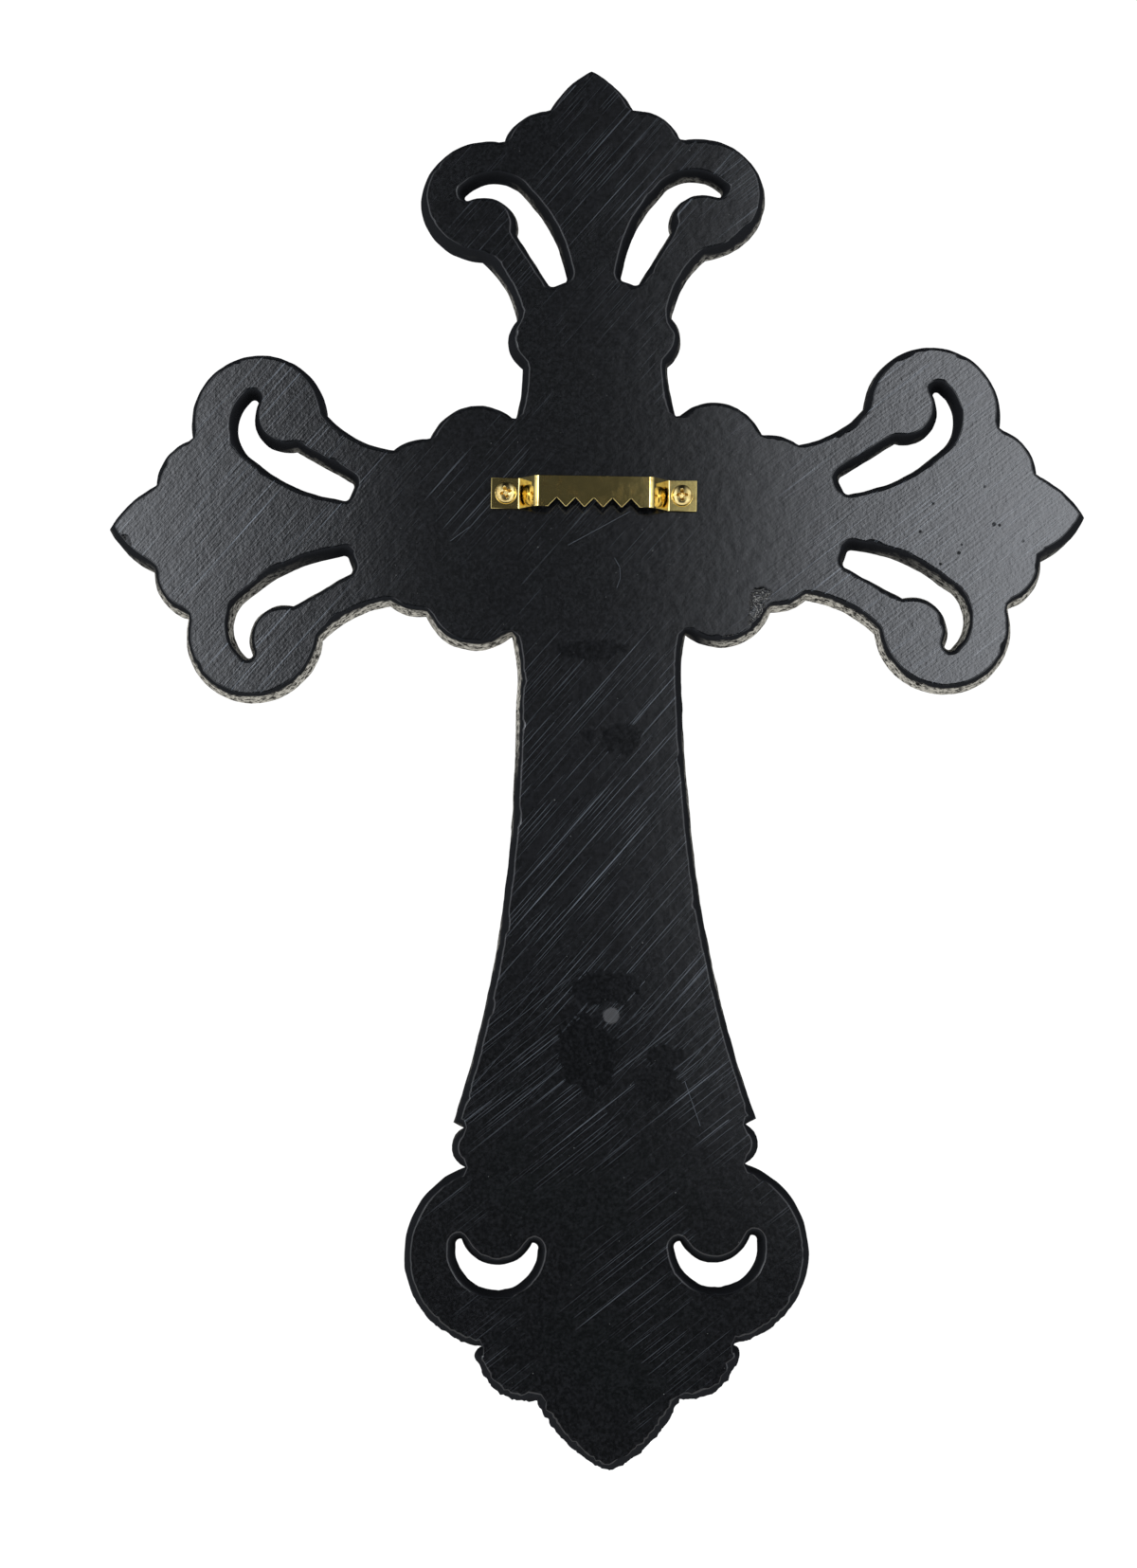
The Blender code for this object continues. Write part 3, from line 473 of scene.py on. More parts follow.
def make_piece(name, vertices, faces, materials, sharp_deg=38.0, edge_round=0.0):
    mesh = bpy.data.meshes.new(name)
    mesh.from_pydata((np.array(vertices) * MM).tolist(), [], faces)
    shape = bmesh.new()
    shape.from_mesh(mesh)
    bmesh.ops.recalc_face_normals(shape, faces=shape.faces)
    if edge_round:
        bmesh.ops.dissolve_limit(shape, angle_limit=math.radians(0.5), verts=shape.verts, edges=shape.edges)
        edges = [edge for edge in shape.edges if edge.calc_face_angle(0.0) > math.radians(sharp_deg)]
        bmesh.ops.bevel(shape, geom=edges, offset=edge_round * MM, segments=2, profile=0.5, affect='EDGES')
    shape.to_mesh(mesh)
    shape.free()
    mesh.shade_smooth()
    mesh.set_sharp_from_angle(angle=math.radians(sharp_deg))
    for material in materials:
        mesh.materials.append(material)
    piece = bpy.data.objects.new(name, mesh)
    bpy.context.collection.objects.link(piece)
    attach(piece, "root")
    return piece


def add_casting():
    vertices, faces, slots, raised = build_casting()
    casting = make_piece("cross_casting", vertices, faces, [sanded_back(), cast_wall(), cast_front()])
    casting.data.polygons.foreach_set("material_index", slots)
    for face in casting.data.polygons:
        face.use_smooth = face.normal.y < FLAT_NORMAL
    casting.data.attributes.new("raised", 'FLOAT', 'POINT').data.foreach_set("value", raised)
    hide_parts("cross")


# Sawtooth strip and screws, with the sizes and places of their solids

SHEET = 0.8
STRIP_WIDTH = 6.8
BRIDGE_LENGTH = 25.1
SLOPE_RUN = 3.5
TAB_LENGTH = 6.45
BRIDGE_LIFT = 5.5
BEND_RADIUS = 0.9
BEND_STEPS = 9
TOOTH_PITCH = 4.05
NOTCH_COUNT = 5
NOTCH_DEPTH = 1.9
NOTCH_TOP = 0.16            # width of a notch at its top
TOOTH_FLAT = 0.25
EDGE_ROUND = 0.09
STRIP_SHARP_DEG = 20.0      # edges that turn more than this are rounded
HEAD_RADIUS = 2.325
HEAD_HEIGHT = 1.7
HEAD_EDGE = 0.45
HEAD_SEAT = -4.8            # y of the underside of the heads
SHANK_LENGTH = 8.0
RECESS_ARM = 1.35           # middle of the cross recess to the end of an arm
RECESS_TURNS_DEG = {"screw_left": 17.5, "screw_right": 2.5}
RECESS_ROWS = ((1.06, 0.0), (1.0, 0.03), (0.95, 0.11), (0.74, 0.5), (0.45, 0.98))      # size, depth
HEAD_RINGS = (0.62, 0.7, 0.78, 0.85, 0.91, 0.955, 0.985, 1.0)
HEAD_SIDES = 48


def strip_course():
    """Stations along the middle of the bent sheet: developed length, x, y and the sheet's slope."""
    slope = math.atan2(BRIDGE_LIFT, SLOPE_RUN)
    tangent = BEND_RADIUS * math.tan(slope / 2)
    upper, lower = BRIDGE_LENGTH / 2, BRIDGE_LENGTH / 2 + SLOPE_RUN
    bends = ((-lower, -BRIDGE_LIFT, 0.0, slope), (-upper, 0.0, slope, 0.0),
             (upper, 0.0, 0.0, -slope), (lower, -BRIDGE_LIFT, -slope, 0.0))
    stations = [(0.0, -lower - TAB_LENGTH, -BRIDGE_LIFT, 0.0)]
    for x, y, slope_in, slope_out in bends:
        start = (x - tangent * math.cos(slope_in), y - tangent * math.sin(slope_in))
        stations.append((stations[-1][0] + math.dist(start, stations[-1][1:3]), *start, slope_in))
        turn = (slope_out - slope_in) / BEND_STEPS
        chord = 2 * BEND_RADIUS * math.sin(abs(turn) / 2)
        for step in range(BEND_STEPS):
            length, x0, y0, angle = stations[-1]
            stations.append((length + chord, x0 + chord * math.cos(angle + turn / 2),
                             y0 + chord * math.sin(angle + turn / 2), angle + turn))
    end = (lower + TAB_LENGTH, -BRIDGE_LIFT)
    stations.append((stations[-1][0] + math.dist(end, stations[-1][1:3]), *end, 0.0))
    return np.array(stations)


def on_strip(vertices):
    """Places of the untilted strip, tilted about the nail as the strip is."""
    x, y, z = np.array(vertices).T
    tilt = math.radians(STRIP_TILT_DEG)
    cos, sin = math.cos(tilt), math.sin(tilt)
    return np.column_stack((x * cos - z * sin, y, x * sin + z * cos))


def add_hanger():
    """A flat blank with teeth and two holes, bent along the strip's course and given its thickness."""
    course = strip_course()
    bottom, top = -NOTCH_DEPTH, STRIP_WIDTH - NOTCH_DEPTH
    low_edge = [(length, bottom) for length in course[:, 0]]
    half_notch = (TOOTH_PITCH - TOOTH_FLAT) / 2
    for index in range(NOTCH_COUNT):
        at = course[-1][0] / 2 + (index - (NOTCH_COUNT - 1) / 2) * TOOTH_PITCH
        low_edge += [(at - half_notch, bottom), (at - NOTCH_TOP / 2, 0.0), (at + NOTCH_TOP / 2, 0.0),
                     (at + half_notch, bottom)]
    low_edge.sort()
    outline = low_edge + [(length, top) for length in course[::-1, 0]]
    ends = TAB_LENGTH / 2, course[-1][0] - TAB_LENGTH / 2
    holes = [circle((at, STRIP_MIDDLE), PILOT_RADIUS, PILOT_SIDES) for at in ends]
    points = np.vstack([outline] + holes)
    bars = []
    for length in course[1:-1, 0]:
        at_station = [i for i, place in enumerate(outline) if abs(place[0] - length) < 1e-9]
        bars.append((at_station[0], at_station[-1]))
    loops = numbered([outline] + holes)
    faces = triangles_in(points, loops, bars)
    x, y, angle = (np.interp(points[:, 0], course[:, 0], course[:, k]) for k in (1, 2, 3))
    sheets = [np.column_stack((x - offset * np.sin(angle), y + offset * np.cos(angle), points[:, 1]))
              for offset in (-SHEET / 2, SHEET / 2)]
    count = len(points)
    faces += [tuple(count + i for i in face[::-1]) for face in faces]
    for loop in loops:
        faces += wall_faces(loop, [count + i for i in loop])
    vertices = on_strip(np.vstack(sheets))
    strip = make_piece("hanger_strip", vertices, faces, [strip_plating()], STRIP_SHARP_DEG, EDGE_ROUND)
    flat_faces = strip.modifiers.new("flat_faces", 'WEIGHTED_NORMAL')
    flat_faces.weight = 100
    flat_faces.keep_sharp = True
    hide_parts("sawtooth_hanger")


def head_height(radius):
    """Height of the head above its seat, by distance from its middle."""
    rise = np.sqrt(np.clip(1 - np.clip(radius / HEAD_RADIUS, 0.0, 1.0) ** 2.5, 0.0, 1.0)) ** 0.6
    return HEAD_EDGE + (HEAD_HEIGHT - HEAD_EDGE) * rise


def recess_outline(size):
    """A cross with rounded arms."""
    arm = [(0.23, 0.295), (0.256, 0.667), (0.215, 0.859), (0.115, 0.969), (0.0, 1.0), (-0.115, 0.969),
           (-0.215, 0.859), (-0.256, 0.667)]
    points = []
    for turn in range(4):
        cos, sin = round(math.cos(turn * math.pi / 2)), round(math.sin(turn * math.pi / 2))
        points += [(x * cos - z * sin, x * sin + z * cos) for x, z in arm]
    return np.array(points) * size * RECESS_ARM


def add_screw(name, side):
    """A pan-head screw with a cross recess, its head towards +Y."""
    rings = [circle((0, 0), share * HEAD_RADIUS, HEAD_SIDES) for share in HEAD_RINGS]
    outlines = [recess_outline(size) for size, _ in RECESS_ROWS]
    mouth = len(outlines[0])
    crown = np.vstack(rings[::-1] + [outlines[0]])
    faces = triangles_in(crown, numbered([rings[-1]]) + numbered([outlines[0]], len(crown) - mouth))
    heights = head_height(np.linalg.norm(crown, axis=1))
    rows = [np.column_stack((crown[:, 0], heights, crown[:, 1]))]
    first = len(crown) - mouth
    for (size, depth), outline in zip(RECESS_ROWS[1:], outlines[1:]):
        level = head_height(np.linalg.norm(outlines[0], axis=1)) if depth < 0.3 else HEAD_HEIGHT
        rows.append(np.column_stack((outline[:, 0], np.full(mouth, level - depth), outline[:, 1])))
        faces += wall_faces(list(range(first, first + mouth)), list(range(first + mouth, first + 2 * mouth)))
        first += mouth
    faces.append(tuple(range(first, first + mouth)))
    first = sum(len(row) for row in rows)
    above = list(range(HEAD_SIDES))
    profile = ((HEAD_RADIUS, 0.12), (HEAD_RADIUS - 0.1, 0.0), (1.15, 0.0), (1.15, 1.6 - SHANK_LENGTH),
               (0.06, -SHANK_LENGTH))
    for radius, height in profile:
        ring = circle((0, 0), radius, HEAD_SIDES)
        rows.append(np.column_stack((ring[:, 0], np.full(HEAD_SIDES, height), ring[:, 1])))
        below = list(range(first, first + HEAD_SIDES))
        faces += wall_faces(above, below)
        above, first = below, first + HEAD_SIDES
    faces.append(tuple(above))
    x, y, z = np.vstack(rows).T
    turn = math.radians(RECESS_TURNS_DEG[name])
    placed = np.column_stack((x * math.cos(turn) + z * math.sin(turn) + side * SCREW_AT, y + HEAD_SEAT,
                              z * math.cos(turn) - x * math.sin(turn) + STRIP_MIDDLE))
    screw = make_piece(name + "_head_and_shank", on_strip(placed), faces, [screw_plating()])
    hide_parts(name)


# Materials

def linear(hex_colour):
    """Scene-linear colour of a web colour."""
    parts = [int(hex_colour[i:i + 2], 16) / 255 for i in (1, 3, 5)]
    return tuple(c / 12.92 if c <= 0.04045 else ((c + 0.055) / 1.055) ** 2.4 for c in parts) + (1.0,)


class Nodes:
    """A node tree whose nodes are made and linked in one call each."""

    def __init__(self, tree):
        self.tree = tree

    def node(self, kind, inputs=None, **settings):
        made = self.tree.nodes.new("ShaderNode" + kind)
        for key, value in settings.items():
            setattr(made, key, value)
        for key, value in (inputs or {}).items():
            self.put(made.inputs[key], value)
        return made

    def put(self, socket, value):
        if isinstance(value, bpy.types.NodeSocket):
            self.tree.links.new(value, socket)
        else:
            socket.default_value = value

    def math(self, operation, a, b=0.0, clamp=False):
        return self.node("Math", {0: a, 1: b}, operation=operation, use_clamp=clamp).outputs[0]

    def product(self, *values):
        """All the values multiplied."""
        total = values[0]
        for value in values[1:]:
            total = self.math('MULTIPLY', total, value)
        return total

    def of_vectors(self, operation, a, b, output="Vector"):
        return self.node("VectorMath", {0: a, 1: b}, operation=operation).outputs[output]

    def scaled(self, vector, scale):
        return self.node("VectorMath", {0: vector, "Scale": scale}, operation='SCALE').outputs["Vector"]

    def step(self, value, start, end, low=0.0, high=1.0):
        """Smooth step from low at start to high at end."""
        first, last = (low, high) if start < end else (high, low)
        inputs = {"Value": value, "From Min": min(start, end), "From Max": max(start, end),
                  "To Min": first, "To Max": last}
        return self.node("MapRange", inputs, interpolation_type='SMOOTHSTEP').outputs["Result"]

    def between(self, factor, a, b):
        """Number a, going over to b."""
        return self.node("Mix", {"Factor": factor, "A": a, "B": b}).outputs["Result"]

    def mix(self, factor, a, b):
        """Colour a, going over to b."""
        made = self.node("Mix", data_type='RGBA')
        for socket, value in zip((made.inputs[0], made.inputs[6], made.inputs[7]), (factor, a, b)):
            self.put(socket, value)
        return made.outputs[2]


class Graph(Nodes):
    """A material's nodes. Places are in millimetres in the part's frame."""

    def __init__(self, name):
        self.material = bpy.data.materials.new(name)
        self.material.use_nodes = True
        super().__init__(self.material.node_tree)
        self.shader = self.tree.nodes["Principled BSDF"]
        self.place = self.scaled(self.node("TexCoord").outputs["Object"], 1 / MM)

    def shade(self, **inputs):
        """Set inputs of the shader, an underscore for each space."""
        for key, value in inputs.items():
            self.put(self.shader.inputs[key.replace("_", " ")], value)

    def dot(self, direction):
        """Distance of the place along a direction."""
        return self.of_vectors('DOT_PRODUCT', self.place, direction, "Value")

    def vector(self, x, y, z=0.0):
        return self.node("CombineXYZ", {0: x, 1: y, 2: z}).outputs[0]

    def shifted(self, vector, shift):
        return self.of_vectors('ADD', vector, shift)

    def noise(self, vector=None, scale=1.0, detail=2.0, roughness=0.5, distortion=0.0):
        """Soft noise about 0.5, with its waves 1 / scale millimetres long."""
        made = self.node("TexNoise", {"Vector": vector or self.place, "Scale": scale, "Detail": detail,
                                      "Roughness": roughness, "Distortion": distortion})
        return made.outputs["Fac"]

    def bump(self, height, depth, normal=None):
        """The shader's normal for a height from 0 to 1 that is depth millimetres deep."""
        inputs = {"Height": height, "Distance": depth * MM, "Strength": 1.0}
        if normal is not None:
            inputs["Normal"] = normal
        return self.node("Bump", inputs).outputs["Normal"]


# Sanding scratches: angle as the camera sees them, in degrees from level
SCRATCH_UPPER_DEG = 48.0    # on the left arm and the top
SCRATCH_LOWER_DEG = 37.5    # on the right arm and the foot
LONG_SCRATCH, SHORT_SCRATCH = 0.17, 0.11    # greatest half widths

# Places on the back where paint ran over the sanding: x, z and half sizes across and up
PAINT_RUNS = (
    (0.8, -32.6, 8.0, 2.2), (-5.6, -52.2, 4.6, 3.6), (1.6, -51.0, 1.7, 1.5), (-0.9, -106.4, 7.2, 3.8),
    (3.0, -121.0, 6.2, 8.6), (-14.0, -121.5, 4.2, 2.4), (-12.4, -127.4, 5.0, 4.0),
)
# Dull grey spot in the paint, placed as the runs are
GREY_SPOTS = ((-2.4, -112.5, 1.75, 1.75),)
# Single deep scratches across the others: x, z of both ends and half width
LONE_SCRATCHES = (
    (-7.9, -2.2, 5.7, -9.4, 0.09), (-4.4, -12.4, -5.5, -14.4, 0.08), (-5.5, -14.4, -5.6, -16.8, 0.08),
    (-5.6, -16.8, -4.8, -19.0, 0.08), (-18.2, -127.0, -21.4, -136.6, 0.09), (31.5, -8.2, 27.4, -5.2, 0.08),
)
# Where wet paint wrinkled along the edge of a lobe
WRINKLES = ((-35.4, -25.4, 1.7, 5.0), (-31.4, -31.2, 4.4, 1.5), (-36.6, -20.8, 2.0, 1.6))
# Small holes in the sanded face
HOLES = (
    (-71.4, -7.4, 0.34, 0.34), (-74.3, -1.2, 0.28, 0.28), (-75.7, -14.6, 0.3, 0.3),
    (-79.8, -12.2, 0.38, 0.38), (-87.6, -6.0, 0.42, 0.42), (-88.8, -6.2, 0.3, 0.3),
    (-80.4, -10.4, 0.25, 0.25),
)
# Smooth chip at the left tip
CHIP = ((102.9, -8.3, 1.2, 1.7),)


def scratch_course(graph, angle_deg):
    """Distances along and across scratches at an angle."""
    angle = math.radians(angle_deg)
    return (graph.dot((-math.cos(angle), 0.0, math.sin(angle))),
            graph.dot((math.sin(angle), 0.0, math.cos(angle))))


def scratches(graph, course, pitch, length, half_width, seed, share):
    """Straight scratches that fade towards their ends, about pitch apart, 0 to 1. A share of them shows."""
    along, across = course
    cell = graph.vector(graph.math('DIVIDE', across, pitch), graph.math('DIVIDE', along, length))
    place = graph.shifted(cell, seed)
    cells = graph.node("TexVoronoi", {"Vector": place, "Scale": 1.0}, voronoi_dimensions='2D')
    parts = graph.node("SeparateXYZ", {0: graph.of_vectors('SUBTRACT', place, cells.outputs["Position"])})
    luck = graph.node("SeparateColor", {0: cells.outputs["Color"]})
    width = graph.product(luck.outputs[1], half_width / pitch)
    line = graph.step(graph.math('DIVIDE', graph.math('ABSOLUTE', parts.outputs[0]), width), 1.0, 0.55)
    ends = graph.step(graph.math('ABSOLUTE', parts.outputs[1]), 0.5, 0.15)
    chosen = graph.step(luck.outputs[0], 1 - share, 1 - 0.6 * share)
    return graph.product(line, ends, chosen)


def streaks(graph, course, across_scale, along_scale, seed):
    """Noise drawn out along the scratches."""
    along, across = (graph.product(distance, scale)
                     for distance, scale in zip(course, (along_scale, across_scale)))
    return graph.noise(graph.vector(along, across, seed), detail=3.0, roughness=0.6)


def blots(graph, spots, feather, wander_scale, wander_reach):
    """1 inside ragged ovals, 0 outside. Each spot is x, z and its half sizes across and up."""
    wander = graph.noise(scale=wander_scale, detail=3.0, roughness=0.65)
    shift = graph.product(graph.math('SUBTRACT', wander, 0.5), wander_reach)
    total = None
    for x, z, half_x, half_z in spots:
        offset = graph.of_vectors('SUBTRACT', graph.place, (x, BACK_Y, z))
        share = graph.of_vectors('MULTIPLY', offset, (1 / half_x, 0.0, 1 / half_z))
        reach = graph.node("VectorMath", {0: share}, operation='LENGTH').outputs["Value"]
        spot = graph.step(graph.math('ADD', reach, shift), 1.0 + feather, 1.0 - feather)
        total = spot if total is None else graph.math('MAXIMUM', total, spot)
    return total


def lone_scratches(graph):
    """1 on the middle of each single scratch."""
    total = None
    for x0, z0, x1, z1, half_width in LONE_SCRATCHES:
        span = (x1 - x0, z1 - z0)
        square = span[0] ** 2 + span[1] ** 2
        offset = graph.shifted(graph.place, (-x0, -BACK_Y, -z0))
        share = graph.of_vectors('DOT_PRODUCT', offset, (span[0] / square, 0.0, span[1] / square), "Value")
        nearest = graph.scaled((span[0], 0.0, span[1]), graph.math('ADD', share, 0.0, clamp=True))
        gap = graph.of_vectors('DISTANCE', offset, nearest, "Value")
        mark = graph.step(gap, half_width, 0.4 * half_width)
        total = mark if total is None else graph.math('MAXIMUM', total, mark)
    return total


def specks(graph, scale, size, share, seed):
    """Sparse round grains, scale of them to a millimetre, 1 in their middle."""
    cells = graph.node("TexVoronoi", {"Vector": graph.shifted(graph.place, seed), "Scale": scale})
    luck = graph.node("SeparateColor", {0: cells.outputs["Color"]})
    here = graph.step(luck.outputs[0], 1 - share, 1 - 0.8 * share)
    return graph.product(here, graph.step(cells.outputs["Distance"], size, 0.4 * size))


def sanding(graph, across, up, thin):
    """Where sanding shows, the scratches that show, and the fine grain between them, each from 0 to 1."""
    upper = scratch_course(graph, SCRATCH_UPPER_DEG)
    lower = scratch_course(graph, SCRATCH_LOWER_DEG)
    wide = graph.noise(scale=0.03, detail=2.0)
    to_lower = graph.step(graph.math('ADD', up, graph.product(wide, 60.0)), -60.0, -115.0)
    to_right = graph.step(graph.math('ADD', across, graph.product(wide, 30.0)), 0.0, -30.0)
    turn = graph.math('MAXIMUM', to_lower, to_right)
    other = graph.math('SUBTRACT', 1.0, turn)

    def both(at_upper, at_lower):
        """The mask for each place's angle."""
        return graph.math('MAXIMUM', graph.product(at_upper, other), graph.product(at_lower, turn))

    # Sanding shows on the shaft, towards the ends of the arms and a little at the top
    shaft = graph.product(graph.step(up, -20.0, -45.0), graph.step(up, -150.0, -125.0))
    arms = graph.step(graph.math('ABSOLUTE', across), 30.0, 65.0)
    top = graph.product(graph.step(up, 45.0, 70.0), 0.3)
    zone = graph.math('ADD', graph.product(graph.math('MAXIMUM', shaft, arms), 0.7), top)
    patches = graph.step(graph.noise(scale=0.05, detail=3.0), 0.3, 0.7, -0.32, 0.36)
    presence = graph.math('ADD', zone, patches, clamp=True)
    long_ones = both(scratches(graph, upper, 2.3, 42.0, LONG_SCRATCH, (3.7, 1.3, 0.0), 0.6),
                     scratches(graph, lower, 2.1, 46.0, LONG_SCRATCH, (9.1, 6.3, 0.0), 0.6))
    short_ones = both(scratches(graph, upper, 0.85, 15.0, SHORT_SCRATCH, (21.7, 4.9, 0.0), 0.8),
                      scratches(graph, lower, 0.8, 17.0, SHORT_SCRATCH, (33.1, 2.6, 0.0), 0.8))
    grain = both(streaks(graph, upper, 1.9, 0.09, 2.0), streaks(graph, lower, 1.9, 0.09, 8.0))
    lines = graph.math('MAXIMUM', long_ones, graph.product(short_ones, 0.55))
    seen = graph.math('MAXIMUM', graph.product(lines, presence, thin),
                      graph.product(lone_scratches(graph), 0.45))
    return presence, seen, grain, arms


def sanded_back():
    """Thin black paint over sanded resin: the scratches show through lighter, paint runs are smooth."""
    graph = Graph("sanded_back")
    across, up = graph.dot((1.0, 0.0, 0.0)), graph.dot((0.0, 0.0, 1.0))
    runs = blots(graph, PAINT_RUNS, 0.12, 0.3, 1.5)
    thin = graph.math('SUBTRACT', 1.0, runs)
    presence, seen, grain, arms = sanding(graph, across, up, thin)
    spots = blots(graph, GREY_SPOTS, 0.16, 0.9, 0.35)
    wrinkled = blots(graph, WRINKLES, 0.2, 0.6, 1.1)
    holes = blots(graph, HOLES, 0.3, 0.9, 0.3)
    chip = blots(graph, CHIP, 0.5, 0.4, 0.6)
    dust = graph.math('MAXIMUM', specks(graph, 0.32, 0.05, 0.10, (0.0, 0.0, 0.0)),
                      graph.product(specks(graph, 0.85, 0.11, 0.06, (7.0, 3.0, 5.0)), 0.6))
    fine = graph.noise(scale=1.7, detail=2.0)
    crinkle = graph.noise(scale=0.42, detail=2.0, roughness=0.55, distortion=2.2)
    off_fold = graph.math('ABSOLUTE', graph.math('SUBTRACT', crinkle, 0.5))

    colour = graph.mix(graph.step(fine, 0.35, 0.75), linear("#08090a"), linear("#1b1c1e"))
    worn = graph.product(graph.step(grain, 0.45, 0.7), thin, presence, 0.7)
    colour = graph.mix(worn, colour, linear("#17191c"))
    colour = graph.mix(seen, colour, linear("#6c7279"))
    colour = graph.mix(graph.product(spots, 0.6), colour, linear("#262627"))
    colour = graph.mix(graph.product(dust, 0.7), colour, linear("#80827f"))
    fold_lines = graph.product(wrinkled, graph.step(off_fold, 0.022, 0.008), 0.8)
    graph.shade(Base_Color=graph.mix(fold_lines, colour, linear("#a5a39c")))

    rough = graph.math('ADD', graph.product(grain, 0.04), graph.product(spots, 0.2))
    rough = graph.math('ADD', rough, graph.step(runs, 0.0, 1.0, 0.07, 0.05))
    graph.shade(Roughness=graph.math('ADD', rough, graph.product(holes, 0.85)))
    graph.shade(Specular_IOR_Level=0.5)

    # Relief, from broad to fine: uneven paint, the chip, the wrinkles, then grain and pits
    pits = specks(graph, 0.11, 0.035, 0.25, (2.0, 8.0, 1.0))
    sanded = graph.math('ADD', graph.product(arms, 1.25), 0.25)
    cut = graph.math('ADD', graph.product(grain, thin, sanded), graph.product(pits, 12.0))
    fine_cut = graph.math('ADD', graph.product(arms, 1.2), 0.12)
    cut = graph.math('ADD', cut, graph.product(fine, fine_cut))
    normal = graph.bump(graph.noise(scale=0.35, detail=3.0), 0.012)
    normal = graph.bump(chip, -0.5, normal)
    normal = graph.bump(graph.product(wrinkled, crinkle), 1.1, normal)
    graph.shade(Normal=graph.bump(cut, -0.009, normal))
    return graph.material


def cast_wall():
    """Sides of the casting: dull black, pale and mottled in clouds towards the front, and pale and mottled
    under the arms, where the pale resin is partly painted light standing in for floor light on the
    downward-facing walls.
    """
    graph = Graph("cast_wall")
    depth = graph.product(graph.math('ADD', graph.dot((0.0, 1.0, 0.0)), -BACK_Y), -1.0)
    up = graph.dot((0.0, 0.0, 1.0))
    across = graph.math('ABSOLUTE', graph.math('ADD', graph.dot((1.0, 0.0, 0.0)), 6.0))
    wander = graph.product(graph.math('SUBTRACT', graph.noise(scale=0.3, detail=4.0), 0.5), 5.0)
    from_back = graph.math('ADD', depth, wander)
    # Under the arms: painted light from the floor below on the walls that face down, over some pale resin
    under_arms_painted_light = graph.product(graph.step(up, -10.0, -24.0), graph.step(up, -62.0, -46.0),
                               graph.step(across, 16.0, 24.0))
    cloudy = graph.product(graph.step(graph.noise(scale=0.05, detail=2.0), 0.42, 0.62),
                           graph.step(up, -150.0, -120.0), 0.5)
    # Pale mask: the resin's own clouds towards the front, and the painted light under the arms
    bare_resin_and_painted_light = graph.math('MAXIMUM', graph.product(graph.step(from_back, 1.2, 2.8), under_arms_painted_light),
                      graph.product(graph.step(from_back, 3.6, 6.4), cloudy))
    mottle = graph.noise(scale=0.9, detail=5.0, roughness=0.75)
    grey = graph.mix(graph.step(mottle, 0.42, 0.56), linear("#1c1b19"), linear("#b9b5aa"))
    graph.shade(Base_Color=graph.mix(bare_resin_and_painted_light, linear("#1f2022"), grey))
    graph.shade(Roughness=graph.step(bare_resin_and_painted_light, 0.0, 1.0, 0.72, 0.8))
    graph.shade(Specular_IOR_Level=0.0)
    graph.shade(Normal=graph.bump(mottle, 0.09))
    return graph.material


def cast_front():
    """Guessed front finish: the same mottled grey, bright on what stands out and dark in the hollows."""
    graph = Graph("cast_front")
    raised = graph.node("Attribute", attribute_name="raised").outputs["Fac"]
    mottle = graph.noise(scale=0.6, detail=5.0, roughness=0.7)
    level = graph.math('ADD', raised, graph.product(graph.math('SUBTRACT', mottle, 0.5), 0.7))
    grey = graph.mix(graph.step(level, 0.5, 0.9), linear("#4a4844"), linear("#b9b3a6"))
    graph.shade(Base_Color=graph.mix(graph.step(level, 0.45, 0.12), grey, linear("#141416")))
    graph.shade(Roughness=graph.step(level, 0.2, 0.9, 0.62, 0.42))
    graph.shade(Metallic=0.25)
    graph.shade(Normal=graph.bump(mottle, 0.15))
    return graph.material


def plating(name, bright, dull, roughness):
    """Thin bright plating with a few dull clouds, fine lines and shallow dents."""
    graph = Graph(name)
    clouds = graph.noise(scale=0.45, detail=5.0, roughness=0.65)
    along = graph.product(graph.dot((1.0, 0.0, 0.0)), 0.12)
    up = graph.product(graph.dot((0.0, 0.0, 1.0)), 5.0)
    lines = graph.noise(graph.vector(along, up), detail=2.0)
    graph.shade(Base_Color=graph.mix(graph.step(clouds, 0.48, 0.74), linear(bright), linear(dull)))
    graph.shade(Roughness=graph.step(clouds, 0.4, 0.8, roughness, roughness + 0.05))
    graph.shade(Metallic=1.0)
    dents = graph.noise(scale=0.7, detail=2.0)
    graph.shade(Normal=graph.bump(lines, 0.0006, graph.bump(dents, 0.0016)))
    return graph.material


def strip_plating():
    return plating("strip_plating", "#ecd68a", "#bd9f5e", 0.035)


def screw_plating():
    return plating("screw_plating", "#e6cf8d", "#a98c50", 0.16)


# Camera, lights and floor

CAMERA_AT = (6.3, 993.8, -132.5)
CAMERA_UP_DEG = 4.04
CAMERA_ROLL_DEG = 0.7
CAMERA_LENS = 105.5


def add_camera():
    data = bpy.data.cameras.new("camera")
    data.lens = CAMERA_LENS
    data.clip_start, data.clip_end = 0.05, 50.0
    camera = bpy.data.objects.new("camera", data)
    turn = (Matrix.Rotation(math.pi, 3, 'Z') @ Matrix.Rotation(math.radians(90 + CAMERA_UP_DEG), 3, 'X')
            @ Matrix.Rotation(-math.radians(CAMERA_ROLL_DEG), 3, 'Z'))
    camera.rotation_euler = turn.to_euler()
    camera.location = Vector(CAMERA_AT) * MM
    bpy.context.collection.objects.link(camera)
    bpy.context.scene.camera = camera


def add_light(name, place, target, side, power):
    """A square softbox at a place in metres, turned to a target."""
    data = bpy.data.lights.new(name, 'AREA')
    data.shape = 'RECTANGLE'
    data.size = data.size_y = side
    data.energy = power
    lamp = bpy.data.objects.new(name, data)
    lamp.location = place
    lamp.rotation_euler = (Vector(target) - Vector(place)).to_track_quat('-Z', 'Y').to_euler()
    bpy.context.collection.objects.link(lamp)


WHITE = (1.0, 1.0, 1.0, 1.0)
BLACK = (0.0, 0.0, 0.0, 1.0)

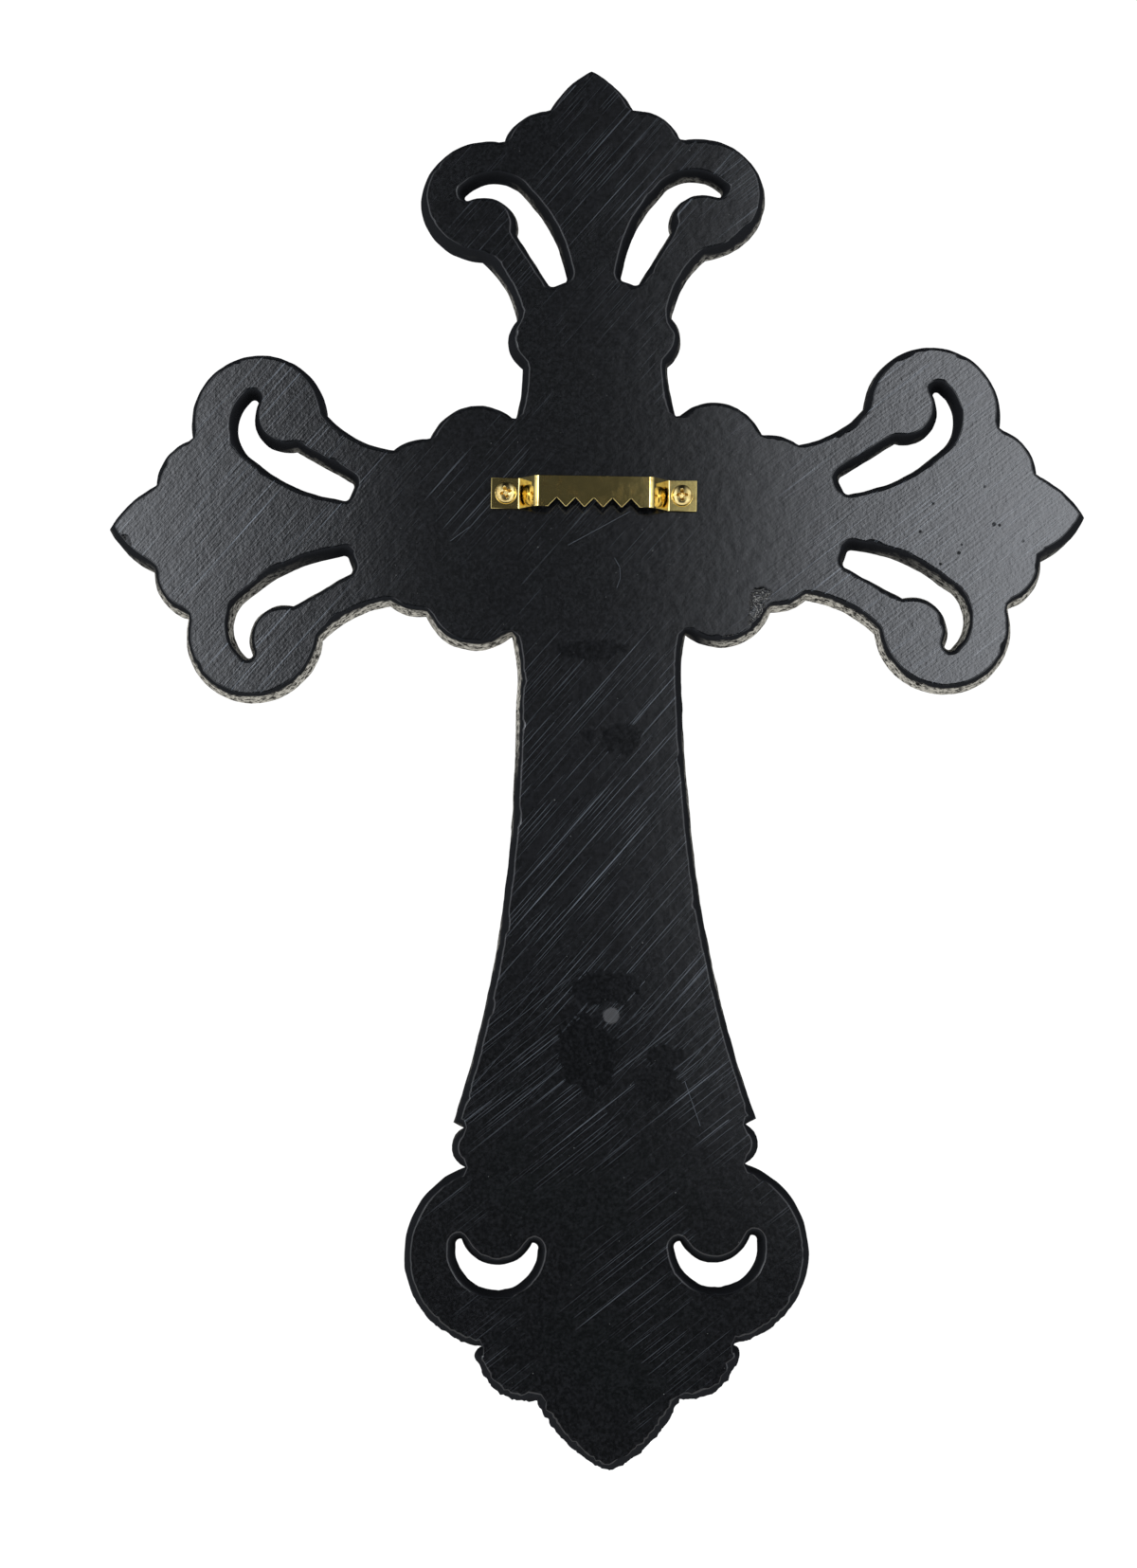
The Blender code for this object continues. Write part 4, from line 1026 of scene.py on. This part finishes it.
# The floor, in metres
FLOOR_Z = -0.252
FLOOR_FRONT = 0.28          # it ends here, so that it doesn't show in the gloss of the back
FLOOR_REACH = 6.0           # to the other sides
FLOOR_GREY = (0.5, 0.5, 0.5, 1.0)
FLOOR_GLOW = 0.86           # near the object
BACKDROP = 1.05             # far off, and behind the object


def add_floor():
    mesh = bpy.data.meshes.new("floor")
    corners = [(-FLOOR_REACH, -FLOOR_REACH, FLOOR_Z), (FLOOR_REACH, -FLOOR_REACH, FLOOR_Z),
               (FLOOR_REACH, FLOOR_FRONT, FLOOR_Z), (-FLOOR_REACH, FLOOR_FRONT, FLOOR_Z)]
    mesh.from_pydata(corners, [], [(0, 1, 2, 3)])
    graph = Graph("floor_white")
    away = graph.node("VectorMath", {0: graph.place}, operation='LENGTH').outputs["Value"]
    far = graph.step(away, 300.0, 1500.0)
    graph.shade(Base_Color=graph.mix(far, FLOOR_GREY, BLACK))
    graph.shade(Emission_Strength=graph.step(far, 0.0, 1.0, FLOOR_GLOW, BACKDROP))
    graph.shade(Emission_Color=WHITE)
    graph.shade(Roughness=0.9)
    graph.shade(Specular_IOR_Level=0.0)
    mesh.materials.append(graph.material)
    floor = bpy.data.objects.new("floor", mesh)
    bpy.context.collection.objects.link(floor)


# The room as the object sees it: dark round the camera, soft light on both sides of it, a pale room beyond
ROOM_DARK = 0.06            # radiance towards the camera
ROOM_MIDDLE = 0.012         # how far the dark middle lies to the left
LIGHT_BRIGHT = 6.5
LIGHT_FROM, LIGHT_TO = 0.024, 0.142     # where the lights begin and are full, as sines from the middle
ROOM_SIDE = 1.5
ROOM_BEHIND = 0.9
ROOM_TINT = (0.95, 0.985, 1.05, 1.0)


def add_world():
    """White behind the object for the camera, and the room for light and reflections."""
    world = bpy.data.worlds.new("studio")
    bpy.context.scene.world = world
    world.use_nodes = True
    graph = Nodes(world.node_tree)
    # x, y and z of the direction looked in: aside to the camera's left, towards the camera, up
    x, y, z = graph.node("SeparateXYZ", {0: graph.node("TexCoord").outputs["Generated"]}).outputs
    aside = graph.math('ABSOLUTE', graph.math('SUBTRACT', x, ROOM_MIDDLE))
    rise = graph.product(graph.step(aside, LIGHT_FROM, LIGHT_TO), graph.step(aside, 0.25, 0.4, 1.0, 0.0))
    level = graph.product(graph.step(z, -0.04, 0.07), graph.step(z, 0.16, 0.26, 1.0, 0.0))
    light = graph.product(rise, level, LIGHT_BRIGHT)
    far = graph.product(graph.step(aside, 0.2, 0.45), graph.step(aside, 0.75, 0.95, 1.0, 0.35))
    side = graph.math('ADD', graph.product(far, ROOM_SIDE), graph.math('ADD', light, ROOM_DARK))
    behind = graph.product(graph.step(x, -0.7, 0.8, 0.45, 1.15), ROOM_BEHIND)
    room = graph.between(graph.step(y, -0.12, 0.12, 1.0, 0.0), side, behind)
    room = graph.product(room, graph.step(z, 0.3, 0.8, 1.0, 0.15))
    for_camera = graph.node("LightPath").outputs["Is Camera Ray"]
    background = graph.tree.nodes["Background"]
    graph.put(background.inputs["Strength"], graph.between(for_camera, room, BACKDROP))
    graph.put(background.inputs["Color"], graph.mix(for_camera, ROOM_TINT, WHITE))


def main():
    add_casting()
    add_hanger()
    add_screw("screw_left", 1)
    add_screw("screw_right", -1)
    add_camera()
    add_light("soft_front", (0.8, -1.2, 0.5), (0, 0, -0.05), 0.8, 7.0)
    add_floor()
    add_world()
    bpy.context.scene.view_settings.view_transform = 'Standard'


main()
bpy.context.view_layer.update()
